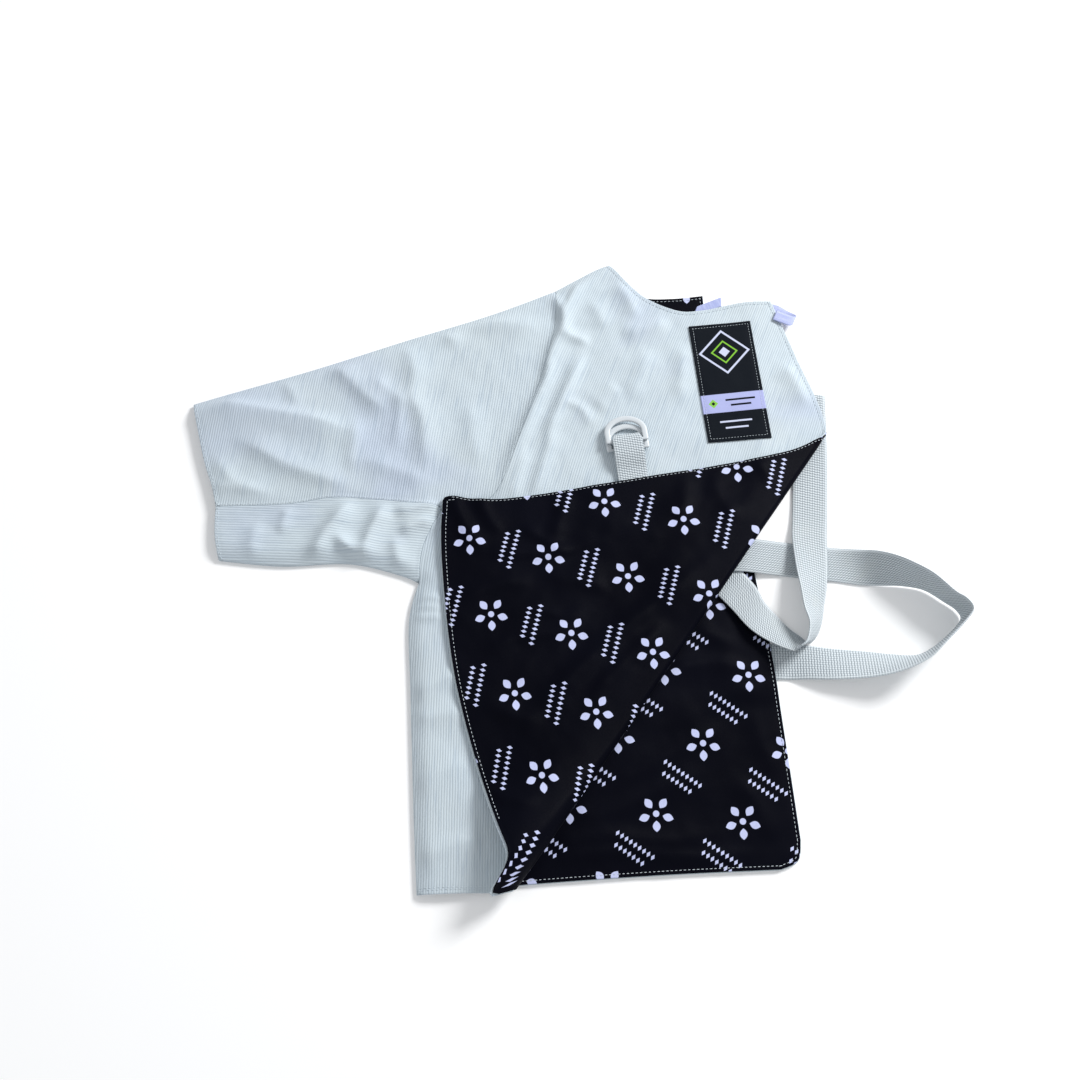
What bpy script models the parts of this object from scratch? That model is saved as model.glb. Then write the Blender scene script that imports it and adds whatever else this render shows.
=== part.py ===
# A fencing plastron laid flat with its front up and one corner of the front turned back.
# Sizes are in millimetres, turned to metres when a mesh is made.
# +X runs from the sleeve to the centre edge, +Y from hem to neck, and the table is at z = 0.
import math
from collections import namedtuple

import bmesh
import bpy
from mathutils import Vector

MM = 0.001
PLAN_CENTRE = (23.95, -13.5)  # middle of the whole piece on the table

# walls and the gaps between layers
CLOTH = 1.2
LINING = 1.0
SEAM_GAP = 0.3
LAYER_GAP = 0.3
BODY_UNDERSIDE = 5.4  # underside of the front's outer cloth, over back, lining and ribbon
SLEEVE_UNDERSIDE = 5.0
CLOSED_UNDERSIDE = CLOTH + SEAM_GAP  # where the upper layer comes down to a seam at the edge
EDGE_DROP = 14.0  # how far in from a closed edge the upper layer starts to come down
FREE_INSET = 2.0  # lining inset at hems and open edges
CLOSED_INSET = 17.0  # lining inset at closed edges

# the diagonal fold of the front's lower corner
FOLD_FOOT = Vector((-15.0, -285.0))
FOLD_HEAD = Vector((246.0, 94.0))
FOLD_RADIUS = 3.4
FOLD_OPEN_RADIUS = 10.6  # extra radius where the fold opens at the hem
FOLD_OPEN_LENGTH = 90.0
FLAP_LIE = 4.2  # how far the turned corner lies above the front
FLAP_SETTLE = 75.0  # the turned corner comes down over this distance from the fold
TAB_LIFT = 3.2  # and further over the end of the ring tab
TAB_LIFT_CENTRE = (81, 34)
TAB_LIFT_INNER, TAB_LIFT_OUTER = 26.0, 70.0

# cells of the panels, before the extra cuts
BACK_GRID = 44.0
FRONT_GRID = 24.0
SLEEVE_GRID = 20.0
FOLD_STEPS = 5  # cells round the fold's half turn

# outlines as smooth curves through named points
NECK_POINT = (63, 265)
SHOULDER_POINT = (14, 238)
UNDERARM_POINT = (-101, -39)
SEAM_AT_ARMHOLE = (-82, 28)
SEAM_AT_CUFF = (-275, 28)
CUFF_TOP = (-303, 125)
CUFF_FOOT = (-269.5, -19)
HEM_LEFT = (-95, -292)
FRONT_TOP_CORNER = (207, 226)
FRONT_LOW_CORNER = (313, -236)

SHOULDER = [NECK_POINT, (49, 259), SHOULDER_POINT]
SLEEVE_TOP = [SHOULDER_POINT, (-43, 214), (-121, 187), (-199, 159), (-276, 134), CUFF_TOP]
CUFF_UPPER = [CUFF_TOP, (-289, 72), (-280, 47), SEAM_AT_CUFF]
CUFF_UNDER = [SEAM_AT_CUFF, (-274, 4), CUFF_FOOT]
UNDERARM_EDGE = [CUFF_FOOT, (-217, -24), (-160, -22), (-117, -32), UNDERARM_POINT]
ARMHOLE_UPPER = [SEAM_AT_ARMHOLE, (-41, 37), (-14, 104), (11, 190), SHOULDER_POINT]
ARMHOLE_UNDER = [UNDERARM_POINT, (-98, -6), SEAM_AT_ARMHOLE]
SLEEVE_SEAM = [SEAM_AT_CUFF, (-215, 30), (-173, 36), (-116, 32), SEAM_AT_ARMHOLE]
SIDE_EDGE = [HEM_LEFT, (-99, -235), (-105, -131), (-108, -72), UNDERARM_POINT]
FRONT_NECK = [NECK_POINT, (75, 249), (93, 230), (122, 216), (145, 216), (180, 224), FRONT_TOP_CORNER]
CENTRE_EDGE = [FRONT_TOP_CORNER, (227, 169), (248, 105), (246, 51), (262, -45), (290, -182), FRONT_LOW_CORNER]
FRONT_HEM = [FRONT_LOW_CORNER, (257, -257), (154, -284), (51, -296), (-34, -291), HEM_LEFT]
BACK_NECK = [NECK_POINT, (76, 245), (93, 232), (120, 231), (147, 234)]
BACK_EDGE = [(147, 234), (152, 160), (168, 60), (180, -31), (191, -110), (204, -250)]
BACK_CORNER = [(204, -250), (201, -266), (187, -273)]
BACK_HEM = [(187, -273), (99, -277), (-5, -284), HEM_LEFT]

# where the front rides over the hidden fold and the sewn end of the strap
Swell = namedtuple("Swell", "x y inner outer height")
SWELLS = [Swell(155, -22, 36, 76, 3.0), Swell(178, -104, 30, 70, 1.95)]

# the front comes down towards the centre edge, where no back lies under it
SAG = 2.0
SAG_FROM_X, SAG_WIDTH = 185.0, 45.0
SAG_FROM_Y, SAG_LENGTH = 10.0, 60.0

# largest creases of the upper layer: two ends, how far the middle bows to the left, height and half width
Crease = namedtuple("Crease", "x0 y0 x1 y1 bow height half_width")
CREASES = [Crease(*row) for row in (
    (4, 214, -34, 62, -9, 3.4, 9),
    (26, 188, -4, 62, 6, 2.6, 9),
    (44, 190, 26, 150, 3, 1.8, 8),
    (-188, 146, -142, 108, 5, 2.2, 9),
    (-126, 160, -104, 74, 8, 2.4, 10),
    (-268, 108, -172, 84, -6, 3.0, 11),
    (-236, 74, -166, 40, 4, 2.2, 10),
    (-176, 24, -206, -14, 5, 2.4, 8),
    (-128, 18, -146, -12, -4, 2.0, 7),
    (-92, 8, -100, -26, -3, 2.0, 7),
)]
CREASE_FADE_EDGE = 20.0  # creases die out towards a closed edge
CREASE_FADE_FOLD = 24.0

# the strap: one edge of it, its height, and the direction and tilt of the cloth from that edge
STRAP_WIDTH = 30.0
STRAP_THICK = 1.6
StrapRow = namedtuple("StrapRow", "x y z side_deg tilt_deg")
STRAP_FIRST = [StrapRow(*row) for row in (
    (160, -90, 0.8, -91, 0),
    (190, -91, 0.8, -92, 0),
    (204, -91.5, 0.8, -92, 0),
    (220, -92.5, 0.8, -92, 8),
    (240, -95, 0.8, -93, 18),
    (267, -97.5, 0.8, -92, 31),
    (288, -100, 0.8, -90, 48),
    (308, -101, 0.8, -82, 70),
    (321, -95.5, 0.8, -60, 82),
    (333, -86.5, 0.8, -48, 86),
    (343, -77, 0.8, -30, 87),
    (348, -69, 0.8, 0, 86),
    (344, -61.5, 0.8, 35, 87),
    (336, -55.5, 0.8, 52, 88),
    (320, -45, 0.8, 62, 80),
    (303, -41.5, 0.8, 78, 64),
    (286, -41, 0.8, 86, 40),
    (268, -40.5, 0.8, 87, 14),
    (250, -38, 0.8, 86, 1),
    (232, -36, 0.8, 85, 0),
    (210, -33.5, 0.9, 85, 0),
    (195, -32, 2.2, 85, 0),
    (182, -31, 4.2, 85, 0),
    (170, -30, 5.5, 85, 0),
    (158, -29.8, 5.5, 85, 0),
)]
STRAP_SECOND = [StrapRow(*row) for row in (
    (166, -26, 3.6, 220, 0),
    (179, -41.5, 3.6, 228, 4),
    (186, -56, 3.4, 241, 14),
    (195, -67, 2.6, 257, 22),
    (205, -78, 1.6, 267, 36),
    (214, -85, 1.0, 247, 51),
    (221, -90, 0.8, 222, 65),
    (228, -84, 0.8, 213, 60),
    (233, -72, 0.8, 204, 56),
    (236, -57, 1.4, 200, 42),
    (239, -41, 3.0, 192, 30),
    (241, -18, 3.2, 186, 14),
    (242, 2, 3.0, 180, 4),
    (244, 20, 1.6, 178, 1),
    (247, 60, 0.8, 177, 0),
    (249, 100, 0.8, 177, 0),
    (250, 134.5, 0.8, 177, 0),
)]
STRAP_CREASE_MIDDLE = (139, -14.5)
STRAP_CREASE_DEG = 61.5
STRAP_CREASE_HALF = 16.4
STRAP_TURN_STEPS = 4
FLOOR_CLEAR = 0.05

# where the back rides over the sewn end of the strap
SEWN_LEFT = 158.0
SEWN_LOW = -123.0
SEWN_HIGH = -87.0
SEWN_RISE = 1.95
SEWN_FADE = 24.0

# label, ribbons, tab and rings
LABEL_CORNERS = [(132, 199), (145, 86), (200, 91), (187, 205)]
LABEL_THICK = 1.0
NECK_RIBBON = [(163, 222), (163, 231.5), (141, 222), (137, 212)]
RIBBON_THICK = 1.0
LoopRow = namedtuple("LoopRow", "x y z")
LOOP_PATH = [LoopRow(*row) for row in (
    (203, 221, 2.2), (212, 219, 2.2), (221, 213, 2.2), (227, 208, 4.6),
    (224, 205, 7.4), (216, 208, 7.8), (209.5, 211, 7.8),
)]
LOOP_WIDTH = 10.0
LOOP_ACROSS = (0.42, 0.91, 0)
TAB_TOP = Vector((74, 92))
TAB_FOOT = Vector((84, 20))
TAB_THICK = 1.3
TAB_CLEAR = 0.7  # between the tab and the front, which rises a little towards the fold
TAB_WIDTH = 26.0
TAB_SQUEEZE = 3.4  # narrower where it turns inside the rings
TAB_SQUEEZE_LENGTH = 6.0
TAB_OVER_BAR = 0.5  # between the tab and the upper ring's bar
TabRow = namedtuple("TabRow", "down level above")  # along the tab from its looped end, and height from a level
TAB_PATH = [TabRow(*row) for row in (
    (70, "rest", 0), (55, "rest", 0), (40, "rest", 0), (22, "rest", 0), (6, "rest", 0), (2.4, "rest", 0.8),
    (0.8, "middle", -2.0), (0.65, "middle", 0), (0.8, "middle", 2.0), (2.4, "top", -0.8),
    (6, "top", 0), (17, "top", -0.4), (24, "top", -2.4), (31, "flat", 1.0), (40, "flat", 0), (55, "flat", 0),
    (70, "flat", 0),
)]
RING_HALF_WIDTH = 18.6
RING_BAND = 5.1
RING_THICK = 2.6
RING_SIDE = 8.4
RING_ARC = 15.2
RING_ARC_STEPS = 12
RING_BAR_POINTS = 6
RING_CORNER = 0.6  # rise of the inner corner beside the bar
RingCorner = namedtuple("RingCorner", "inward height")  # shares of the band and of half the thickness
RING_SECTION = [RingCorner(*row) for row in (
    (0, -0.45), (0.25, -1), (0.75, -1), (1, -0.45), (1, 0.45), (0.75, 1), (0.25, 1), (0, 0.45),
)]
BAR_UPPER_DOWN = 6.0  # along the tab from its looped end to the upper ring's bar
BAR_LOWER_DOWN = 12.4
BAR_UPPER_Z = 13.1
BAR_LOWER_Z = 10.5
UPPER_RING_TILT = 3.0
LOWER_RING_TILT = 2.6

WHITE = (0.86, 0.88, 0.87, 1)
BLACK = (0.012, 0.010, 0.020, 1)
LAVENDER = (0.55, 0.56, 0.83, 1)


def material(name, color, roughness):
    found = bpy.data.materials.get(name)
    if found:
        return found
    made = bpy.data.materials.new(name)
    made.use_nodes = True
    shader = made.node_tree.nodes["Principled BSDF"]
    shader.inputs["Base Color"].default_value = color
    shader.inputs["Roughness"].default_value = roughness
    shader.inputs["Metallic"].default_value = 0.0
    return made


def smoothstep(value):
    t = min(max(value, 0.0), 1.0)
    return t * t * (3 - 2 * t)


def smooth_rows(rows, steps):
    """Catmull-Rom values between rows of any number of columns."""
    out = []
    for i in range(len(rows) - 1):
        before = rows[max(i - 1, 0)]
        after = rows[min(i + 2, len(rows) - 1)]
        for k in range(steps):
            t = k / steps
            values = []
            for p0, p1, p2, p3 in zip(before, rows[i], rows[i + 1], after):
                bend = 2 * p0 - 5 * p1 + 4 * p2 - p3
                twist = 3 * p1 - p0 - 3 * p2 + p3
                values.append(0.5 * (2 * p1 + (p2 - p0) * t + bend * t * t + twist * t ** 3))
            out.append(tuple(values))
    out.append(tuple(float(v) for v in rows[-1]))
    return out


def curve(points, spacing=22.0):
    """A smooth line through the points, then even points along it."""
    fine = [Vector(p) for p in smooth_rows(points, 12)]
    total = sum((b - a).length for a, b in zip(fine, fine[1:]))
    count = max(1, round(total / spacing))
    out, reach, walked = [fine[0]], total / count, 0.0
    for a, b in zip(fine, fine[1:]):
        length = (b - a).length
        while walked + length >= reach * len(out) - 1e-9 and len(out) < count:
            out.append(a.lerp(b, (reach * len(out) - walked) / length))
        walked += length
    out.append(fine[-1])
    return out


def offset(points, distance):
    """The same line moved to its left."""
    out = []
    for i, p in enumerate(points):
        along = (points[min(i + 1, len(points) - 1)] - points[max(i - 1, 0)]).normalized()
        out.append(p + Vector((-along.y, along.x)) * distance)
    return out


CLOSED_LINES = [curve(line, 12) for line in (SHOULDER, SLEEVE_TOP, SIDE_EDGE, UNDERARM_EDGE)]


def distance_to_line(point, line):
    best = 1e9
    for a, b in zip(line, line[1:]):
        span = b - a
        t = min(max((point - a).dot(span) / span.length_squared, 0.0), 1.0)
        best = min(best, (point - a - span * t).length)
    return best


def closed_distance(point):
    return min(distance_to_line(point, line) for line in CLOSED_LINES)


def swell(point, centre, inner, outer):
    return 1 - smoothstep(((point - Vector(centre)).length - inner) / (outer - inner))


def back_rise(point):
    """The back lies over the sewn end of the strap near its right edge."""
    past = max(SEWN_LEFT - point.x, 0.0), max(SEWN_LOW - point.y, point.y - SEWN_HIGH, 0.0)
    return SEWN_RISE * (1 - smoothstep(math.hypot(*past) / SEWN_FADE))


def crease_height(point):
    rise = 0.0
    for row in CREASES:
        start = Vector((row.x0, row.y0))
        span = Vector((row.x1, row.y1)) - start
        t = (point - start).dot(span) / span.length_squared
        side = (point - start).dot(Vector((-span.y, span.x)).normalized())
        side -= row.bow * 4 * t * (1 - t)
        along = smoothstep((t + 0.15) / 0.35) * smoothstep((1.15 - t) / 0.35)
        rise += row.height * along * math.exp(-((side / row.half_width) ** 2))
    return rise


def fold_places(point):
    """Distance along the fold and past its silhouette."""
    along = (FOLD_HEAD - FOLD_FOOT).normalized()
    across = Vector((along.y, -along.x))
    return (point - FOLD_FOOT).dot(along), (point - FOLD_FOOT).dot(across), along, across


def fold_radius(along):
    return FOLD_RADIUS + FOLD_OPEN_RADIUS * math.exp(-((max(along, 0.0) / FOLD_OPEN_LENGTH) ** 2))


def upper_height(point):
    """Height of the joint between outer cloth and lining over a place on the table."""
    inner = BODY_UNDERSIDE + (SLEEVE_UNDERSIDE - BODY_UNDERSIDE) * smoothstep((30 - point.x) / 90)
    rise = 1 - (1 - min(closed_distance(point) / EDGE_DROP, 1.0)) ** 2
    height = CLOSED_UNDERSIDE + (inner - CLOSED_UNDERSIDE) * rise - LAYER_GAP / 2
    for row in SWELLS:
        height += row.height * swell(point, (row.x, row.y), row.inner, row.outer)
    sag = smoothstep((point.x - SAG_FROM_X) / SAG_WIDTH) * smoothstep((point.y - SAG_FROM_Y) / SAG_LENGTH)
    return height - SAG * sag


def upper_form(point, lift):
    """Place of a point of the front, lying, rolled or turned back. lift is its height in the layers."""
    along_at, past, along, across = fold_places(point)
    radius = fold_radius(along_at)
    start = past + radius
    if start <= 0:
        crease = 0.0
        if lift > 0:
            crease = crease_height(point) * smoothstep((-start - 6) / CREASE_FADE_FOLD)
            crease *= smoothstep(closed_distance(point) / CREASE_FADE_EDGE)
        return Vector((point.x, point.y, upper_height(point) + lift + crease))
    foot = FOLD_FOOT + along * along_at - across * radius
    turn = math.pi * radius
    if start < turn:
        angle = start / radius
        plan = foot + across * (radius - lift) * math.sin(angle)
        return Vector((plan.x, plan.y, upper_height(plan) + radius - (radius - lift) * math.cos(angle)))
    past_turn = start - turn
    plan = foot - across * past_turn
    lie = FLAP_LIE + TAB_LIFT * swell(plan, TAB_LIFT_CENTRE, TAB_LIFT_INNER, TAB_LIFT_OUTER)
    settle = 1 - smoothstep(past_turn / FLAP_SETTLE)
    return Vector((plan.x, plan.y, upper_height(plan) + lie + (2 * radius - lie) * settle - lift))


def sleeve_form(point, lift):
    crease = crease_height(point) * smoothstep(closed_distance(point) / CREASE_FADE_EDGE)
    return Vector((point.x, point.y, upper_height(point) + lift + crease))


def back_form(point, lift):
    return Vector((point.x, point.y, back_rise(point) + lift))


def to_fold_space(bm):
    for vert in bm.verts:
        along_at, past, _, _ = fold_places(vert.co.xy)
        radius = fold_radius(along_at)
        vert.co = Vector((along_at, (past + radius) / (math.pi * radius), 0))


def from_fold_space(bm):
    along = (FOLD_HEAD - FOLD_FOOT).normalized()
    across = Vector((along.y, -along.x))
    for vert in bm.verts:
        radius = fold_radius(vert.co.x)
        past = vert.co.y * math.pi * radius - radius
        plan = FOLD_FOOT + along * vert.co.x + across * past
        vert.co = Vector((plan.x, plan.y, 0))


def slice_mesh(bm, place, normal):
    geometry = bm.verts[:] + bm.edges[:] + bm.faces[:]
    bmesh.ops.bisect_plane(bm, geom=geometry, dist=1e-4, plane_co=place, plane_no=normal)


def flat_panel(sides, grid, folded=False, extra_cuts=()):
    """Cuts a flat panel into cells. sides holds (line, inset) pairs round the outline, left hand in."""
    outline, insets = [], []
    for line, inset in sides:
        for p in line[:-1]:
            outline.append(p)
            insets.append(inset)
    count = len(outline)
    insets = [(insets[i - 1] + insets[i]) / 2 for i in range(count)]
    inner = []
    for i, p in enumerate(outline):
        before = (p - outline[i - 1]).normalized()
        after = (outline[(i + 1) % count] - p).normalized()
        normal = Vector((-before.y, before.x)) + Vector((-after.y, after.x))
        normal.normalize()
        stretch = 1 / max(normal.dot(Vector((-after.y, after.x))), 0.6)
        inner.append(p + normal * insets[i] * stretch)
    bm = bmesh.new()
    mark = bm.faces.layers.int.new("rim")
    ring = [bm.verts.new((p.x, p.y, 0)) for p in outline]
    core = [bm.verts.new((p.x, p.y, 0)) for p in inner]
    for i in range(count):
        j = (i + 1) % count
        bm.faces.new((ring[i], ring[j], core[j], core[i]))[mark] = 1
    bm.faces.new(core)
    low = [min(p[k] for p in outline) for k in (0, 1)]
    high = [max(p[k] for p in outline) for k in (0, 1)]
    for k in (0, 1):
        normal = Vector((1 - k, k, 0))
        cuts = int((high[k] - low[k]) / grid)
        for i in range(1, cuts + 1):
            slice_mesh(bm, normal * (low[k] + i * (high[k] - low[k]) / (cuts + 1)), normal)
    for k, place in extra_cuts:
        normal = Vector((1 - k, k, 0))
        slice_mesh(bm, normal * place, normal)
    if folded:
        to_fold_space(bm)
        for k in range(FOLD_STEPS + 1):
            slice_mesh(bm, Vector((0, k / FOLD_STEPS, 0)), Vector((0, 1, 0)))
        from_fold_space(bm)
    bmesh.ops.dissolve_degenerate(bm, dist=0.3, edges=bm.edges[:])
    bmesh.ops.triangulate(bm, faces=bm.faces[:])
    return bm


def wall(name, bm, form, low, high, look, keep_rim=True):
    """Turns a flat panel into a closed wall between two lifts of a form."""
    mark = bm.faces.layers.int["rim"]
    faces = [f for f in bm.faces if keep_rim or f[mark] == 0]
    used = sorted({v.index for f in faces for v in f.verts})
    number = {v: i for i, v in enumerate(used)}
    bm.verts.ensure_lookup_table()
    flat = [bm.verts[i].co.xy for i in used]
    points = [form(p, high) for p in flat] + [form(p, low) for p in flat]
    size = len(flat)
    polygons, edges = [], {}
    for f in faces:
        loop = [number[v.index] for v in f.verts]
        polygons.append(loop)
        polygons.append([i + size for i in reversed(loop)])
        for a, b in zip(loop, loop[1:] + loop[:1]):
            edges[(a, b)] = edges.get((a, b), 0) + 1
    for a, b in edges:
        if (b, a) not in edges:
            polygons.append([b, a, a + size, b + size])
    add_object(name, points, polygons, look)


def add_object(name, points, polygons, look, pivot=None):
    """pivot is the joint's place in millimetres on the table."""
    centre = Vector((PLAN_CENTRE[0], PLAN_CENTRE[1], 0))
    origin = (pivot - centre) * MM if pivot else Vector((0, 0, 0))
    mesh = bpy.data.meshes.new(name)
    mesh.from_pydata([(p - centre) * MM - origin for p in points], [], polygons)
    mesh.materials.append(look)
    mesh.shade_smooth()
    mesh.set_sharp_from_angle(angle=math.radians(40))
    made = bpy.data.objects.new(name, mesh)
    made.location = origin
    bpy.context.scene.collection.objects.link(made)
    return made


def ring_faces(rows, width, closed=False):
    """Faces between rows of points that each go once round a section."""
    faces = []
    for i in range(rows if closed else rows - 1):
        a, b = i * width, ((i + 1) % rows) * width
        for k in range(width):
            n = (k + 1) % width
            faces.append([a + k, a + n, b + n, b + k])
    if not closed:
        last = (rows - 1) * width
        faces.append([k for k in reversed(range(width))])
        faces.append([last + k for k in range(width)])
    return faces


def make_back(cloth, satin):
    outline = [
        (curve(BACK_NECK)[::-1], FREE_INSET),
        (curve(SHOULDER), CLOSED_INSET),
        (curve(ARMHOLE_UPPER)[::-1], FREE_INSET),
        (curve(ARMHOLE_UNDER)[::-1], FREE_INSET),
        (curve(SIDE_EDGE)[::-1], CLOSED_INSET),
        (curve(BACK_HEM)[::-1], FREE_INSET),
        (curve(BACK_CORNER, 6)[::-1], FREE_INSET),
        (curve(BACK_EDGE)[::-1], FREE_INSET),
    ]
    across = [(1, y) for y in (SEWN_LOW - SEWN_FADE, SEWN_LOW, SEWN_HIGH, SEWN_HIGH + SEWN_FADE)]
    down = [(0, x) for x in (SEWN_LEFT - SEWN_FADE, SEWN_LEFT)]
    bm = flat_panel(outline, BACK_GRID, extra_cuts=across + down)
    wall("back", bm, back_form, 0.0, CLOTH, cloth)
    low = CLOTH + LAYER_GAP
    wall("back_lining", bm, back_form, low, low + LINING, satin, keep_rim=False)
    bm.free()


def make_front(cloth, satin):
    outline = [
        (curve(FRONT_NECK, 12)[::-1], FREE_INSET),
        (curve(SHOULDER), CLOSED_INSET),
        (curve(ARMHOLE_UPPER)[::-1], FREE_INSET),
        (curve(ARMHOLE_UNDER)[::-1], FREE_INSET),
        (curve(SIDE_EDGE)[::-1], CLOSED_INSET),
        (curve(FRONT_HEM)[::-1], FREE_INSET),
        (curve(CENTRE_EDGE)[::-1], FREE_INSET),
    ]
    bm = flat_panel(outline, FRONT_GRID, folded=True)
    half = LAYER_GAP / 2
    wall("front", bm, upper_form, half, half + CLOTH, cloth)
    wall("front_lining", bm, upper_form, -half - LINING, -half, satin, keep_rim=False)
    bm.free()


def make_sleeve(cloth):
    half = LAYER_GAP / 2
    armhole = offset(curve(ARMHOLE_UPPER), SEAM_GAP)
    under_arm = offset(curve(ARMHOLE_UNDER), SEAM_GAP)
    seam = curve(SLEEVE_SEAM)
    down = Vector((0, -SEAM_GAP / 2))
    upper = flat_panel([
        ([armhole[-1]] + curve(SLEEVE_TOP)[1:], FREE_INSET),
        (curve(CUFF_UPPER), FREE_INSET),
        (offset(seam, SEAM_GAP / 2), FREE_INSET),
        (armhole, FREE_INSET),
    ], SLEEVE_GRID)
    wall("sleeve_front", upper, sleeve_form, half, half + CLOTH, cloth)
    upper.free()
    under = flat_panel([
        ([under_arm[-1] + down] + offset(seam, -SEAM_GAP / 2)[-2::-1], FREE_INSET),
        (curve(CUFF_UNDER), FREE_INSET),
        (curve(UNDERARM_EDGE), FREE_INSET),
        (under_arm, FREE_INSET),
    ], SLEEVE_GRID)
    wall("sleeve_underarm", under, sleeve_form, half, half + CLOTH, cloth)
    under.free()
    lower = flat_panel([
        ([armhole[-1]] + curve(SLEEVE_TOP)[1:], FREE_INSET),
        (curve(CUFF_UPPER), FREE_INSET),
        (curve(CUFF_UNDER), FREE_INSET),
        (curve(UNDERARM_EDGE), FREE_INSET),
        (under_arm, FREE_INSET),
        (armhole, FREE_INSET),
    ], BACK_GRID)
    wall("sleeve_back", lower, back_form, 0.0, CLOTH, cloth)
    lower.free()


def straight_sides(corners, steps, inset):
    """Sides of a panel with straight edges, from its corners, left hand in."""
    corners = [Vector(p) for p in corners]
    sides = []
    for a, b in zip(corners, corners[1:] + corners[:1]):
        sides.append(([a.lerp(b, k / steps) for k in range(steps + 1)], inset))
    return sides


def make_label(woven):
    bm = flat_panel(straight_sides(LABEL_CORNERS, 4, FREE_INSET), FRONT_GRID)
    low = LAYER_GAP / 2 + CLOTH + LAYER_GAP
    wall("label", bm, upper_form, low, low + LABEL_THICK, woven)
    bm.free()


def make_neck_ribbon(satin):
    bm = flat_panel(straight_sides(NECK_RIBBON, 2, RIBBON_THICK), FRONT_GRID)
    low = CLOTH + LINING + 2 * LAYER_GAP
    wall("neck_ribbon", bm, back_form, low, low + RIBBON_THICK, satin)
    bm.free()


def make_ribbon_loop(satin):
    """A loop of ribbon that leaves the corner, stands a little open and comes back under."""
    across = Vector(LOOP_ACROSS)
    half = across * LOOP_WIDTH / 2
    points = []
    for i, row in enumerate(LOOP_PATH):
        here = Vector(row)
        along = Vector(LOOP_PATH[min(i + 1, len(LOOP_PATH) - 1)]) - Vector(LOOP_PATH[max(i - 1, 0)])
        normal = along.cross(across).normalized() * RIBBON_THICK / 2
        points += [here - half - normal, here + half - normal, here + half + normal, here - half + normal]
    add_object("ribbon_loop", points, ring_faces(len(LOOP_PATH), 4), satin)


def strap_edges(rows):
    """Two edges of the strap from its table rows, as 3-D points."""
    pairs = []
    for values in smooth_rows(rows, 3):
        row = StrapRow(*values)
        side, tilt = math.radians(row.side_deg), math.radians(max(row.tilt_deg, 0))
        out = Vector((math.cos(side) * math.cos(tilt), math.sin(side) * math.cos(tilt), math.sin(tilt)))
        near = Vector((row.x, row.y, max(row.z, STRAP_THICK / 2 + FLOOR_CLEAR)))
        pairs.append((near, near + out * STRAP_WIDTH))
    return pairs


def strap_sections(pairs):
    """Four corners for each pair of edges: thickness on both sides of the middle surface."""
    out = []
    for i, (near, far) in enumerate(pairs):
        before, after = pairs[max(i - 1, 0)], pairs[min(i + 1, len(pairs) - 1)]
        along = after[0] + after[1] - before[0] - before[1]
        normal = (far - near).cross(along).normalized() * STRAP_THICK / 2
        out.append((near - normal, far - normal, far + normal, near + normal))
    return out


def make_strap(webbing):
    angle = math.radians(STRAP_CREASE_DEG)
    along = Vector((math.cos(angle), math.sin(angle), 0)) * STRAP_CREASE_HALF
    outward = Vector((-math.sin(angle), math.cos(angle), 0))
    middle = Vector((*STRAP_CREASE_MIDDLE, 0))
    first = strap_edges(STRAP_FIRST)
    top_z, low_z = STRAP_FIRST[-1].z, STRAP_SECOND[0].z
    first.append((middle - along + Vector((0, 0, top_z)), middle + along + Vector((0, 0, top_z))))
    second = [(middle + along + Vector((0, 0, low_z)), middle - along + Vector((0, 0, low_z)))]
    second += strap_edges(STRAP_SECOND)
    sections = strap_sections(first)
    turn_radius = (top_z - low_z) / 2
    centre_z = Vector((0, 0, (top_z + low_z) / 2))
    for k in range(1, STRAP_TURN_STEPS):
        turn = math.pi * k / STRAP_TURN_STEPS
        way = outward * math.sin(turn) + Vector((0, 0, math.cos(turn)))
        inner = centre_z + way * (turn_radius - STRAP_THICK / 2)
        outer = centre_z + way * (turn_radius + STRAP_THICK / 2)
        a, b = middle - along, middle + along
        sections.append((a + inner, b + inner, b + outer, a + outer))
    for near_low, far_low, far_high, near_high in strap_sections(second):
        sections.append((far_high, near_high, near_low, far_low))
    points = [p for section in sections for p in section]
    add_object("strap", points, ring_faces(len(sections), 4), webbing)


def tab_frame():
    down = (TAB_FOOT - TAB_TOP).normalized()
    return Vector((down.x, down.y, 0)), Vector((-down.y, down.x, 0))


def make_tab(webbing):
    """Webbing folded in two round the rings' bars: the lower run lies on the front."""
    down, across = tab_frame()
    rest = BODY_UNDERSIDE + CLOTH + TAB_CLEAR + TAB_THICK / 2
    top = BAR_UPPER_Z + RING_THICK / 2 + TAB_OVER_BAR + TAB_THICK / 2
    levels = {"rest": rest, "top": top, "flat": rest + TAB_THICK + LAYER_GAP, "middle": (rest + top) / 2}
    path = [(row.down, levels[row.level] + row.above) for row in TAB_PATH]
    points = []
    for i, (t, z) in enumerate(path):
        t0, z0 = path[max(i - 1, 0)]
        t1, z1 = path[min(i + 1, len(path) - 1)]
        normal = Vector((-(z1 - z0), t1 - t0)).normalized() * TAB_THICK / 2
        for side, sign in ((-1, -1), (1, -1), (1, 1), (-1, 1)):
            place = Vector((TAB_TOP.x, TAB_TOP.y, 0)) + down * (t + normal.x * sign)
            half = (TAB_WIDTH - TAB_SQUEEZE * (1 - smoothstep(t / TAB_SQUEEZE_LENGTH))) / 2
            points.append(place + across * side * half + Vector((0, 0, z + normal.y * sign)))
    add_object("ring_tab", points, ring_faces(len(path), 4), webbing)


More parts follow.
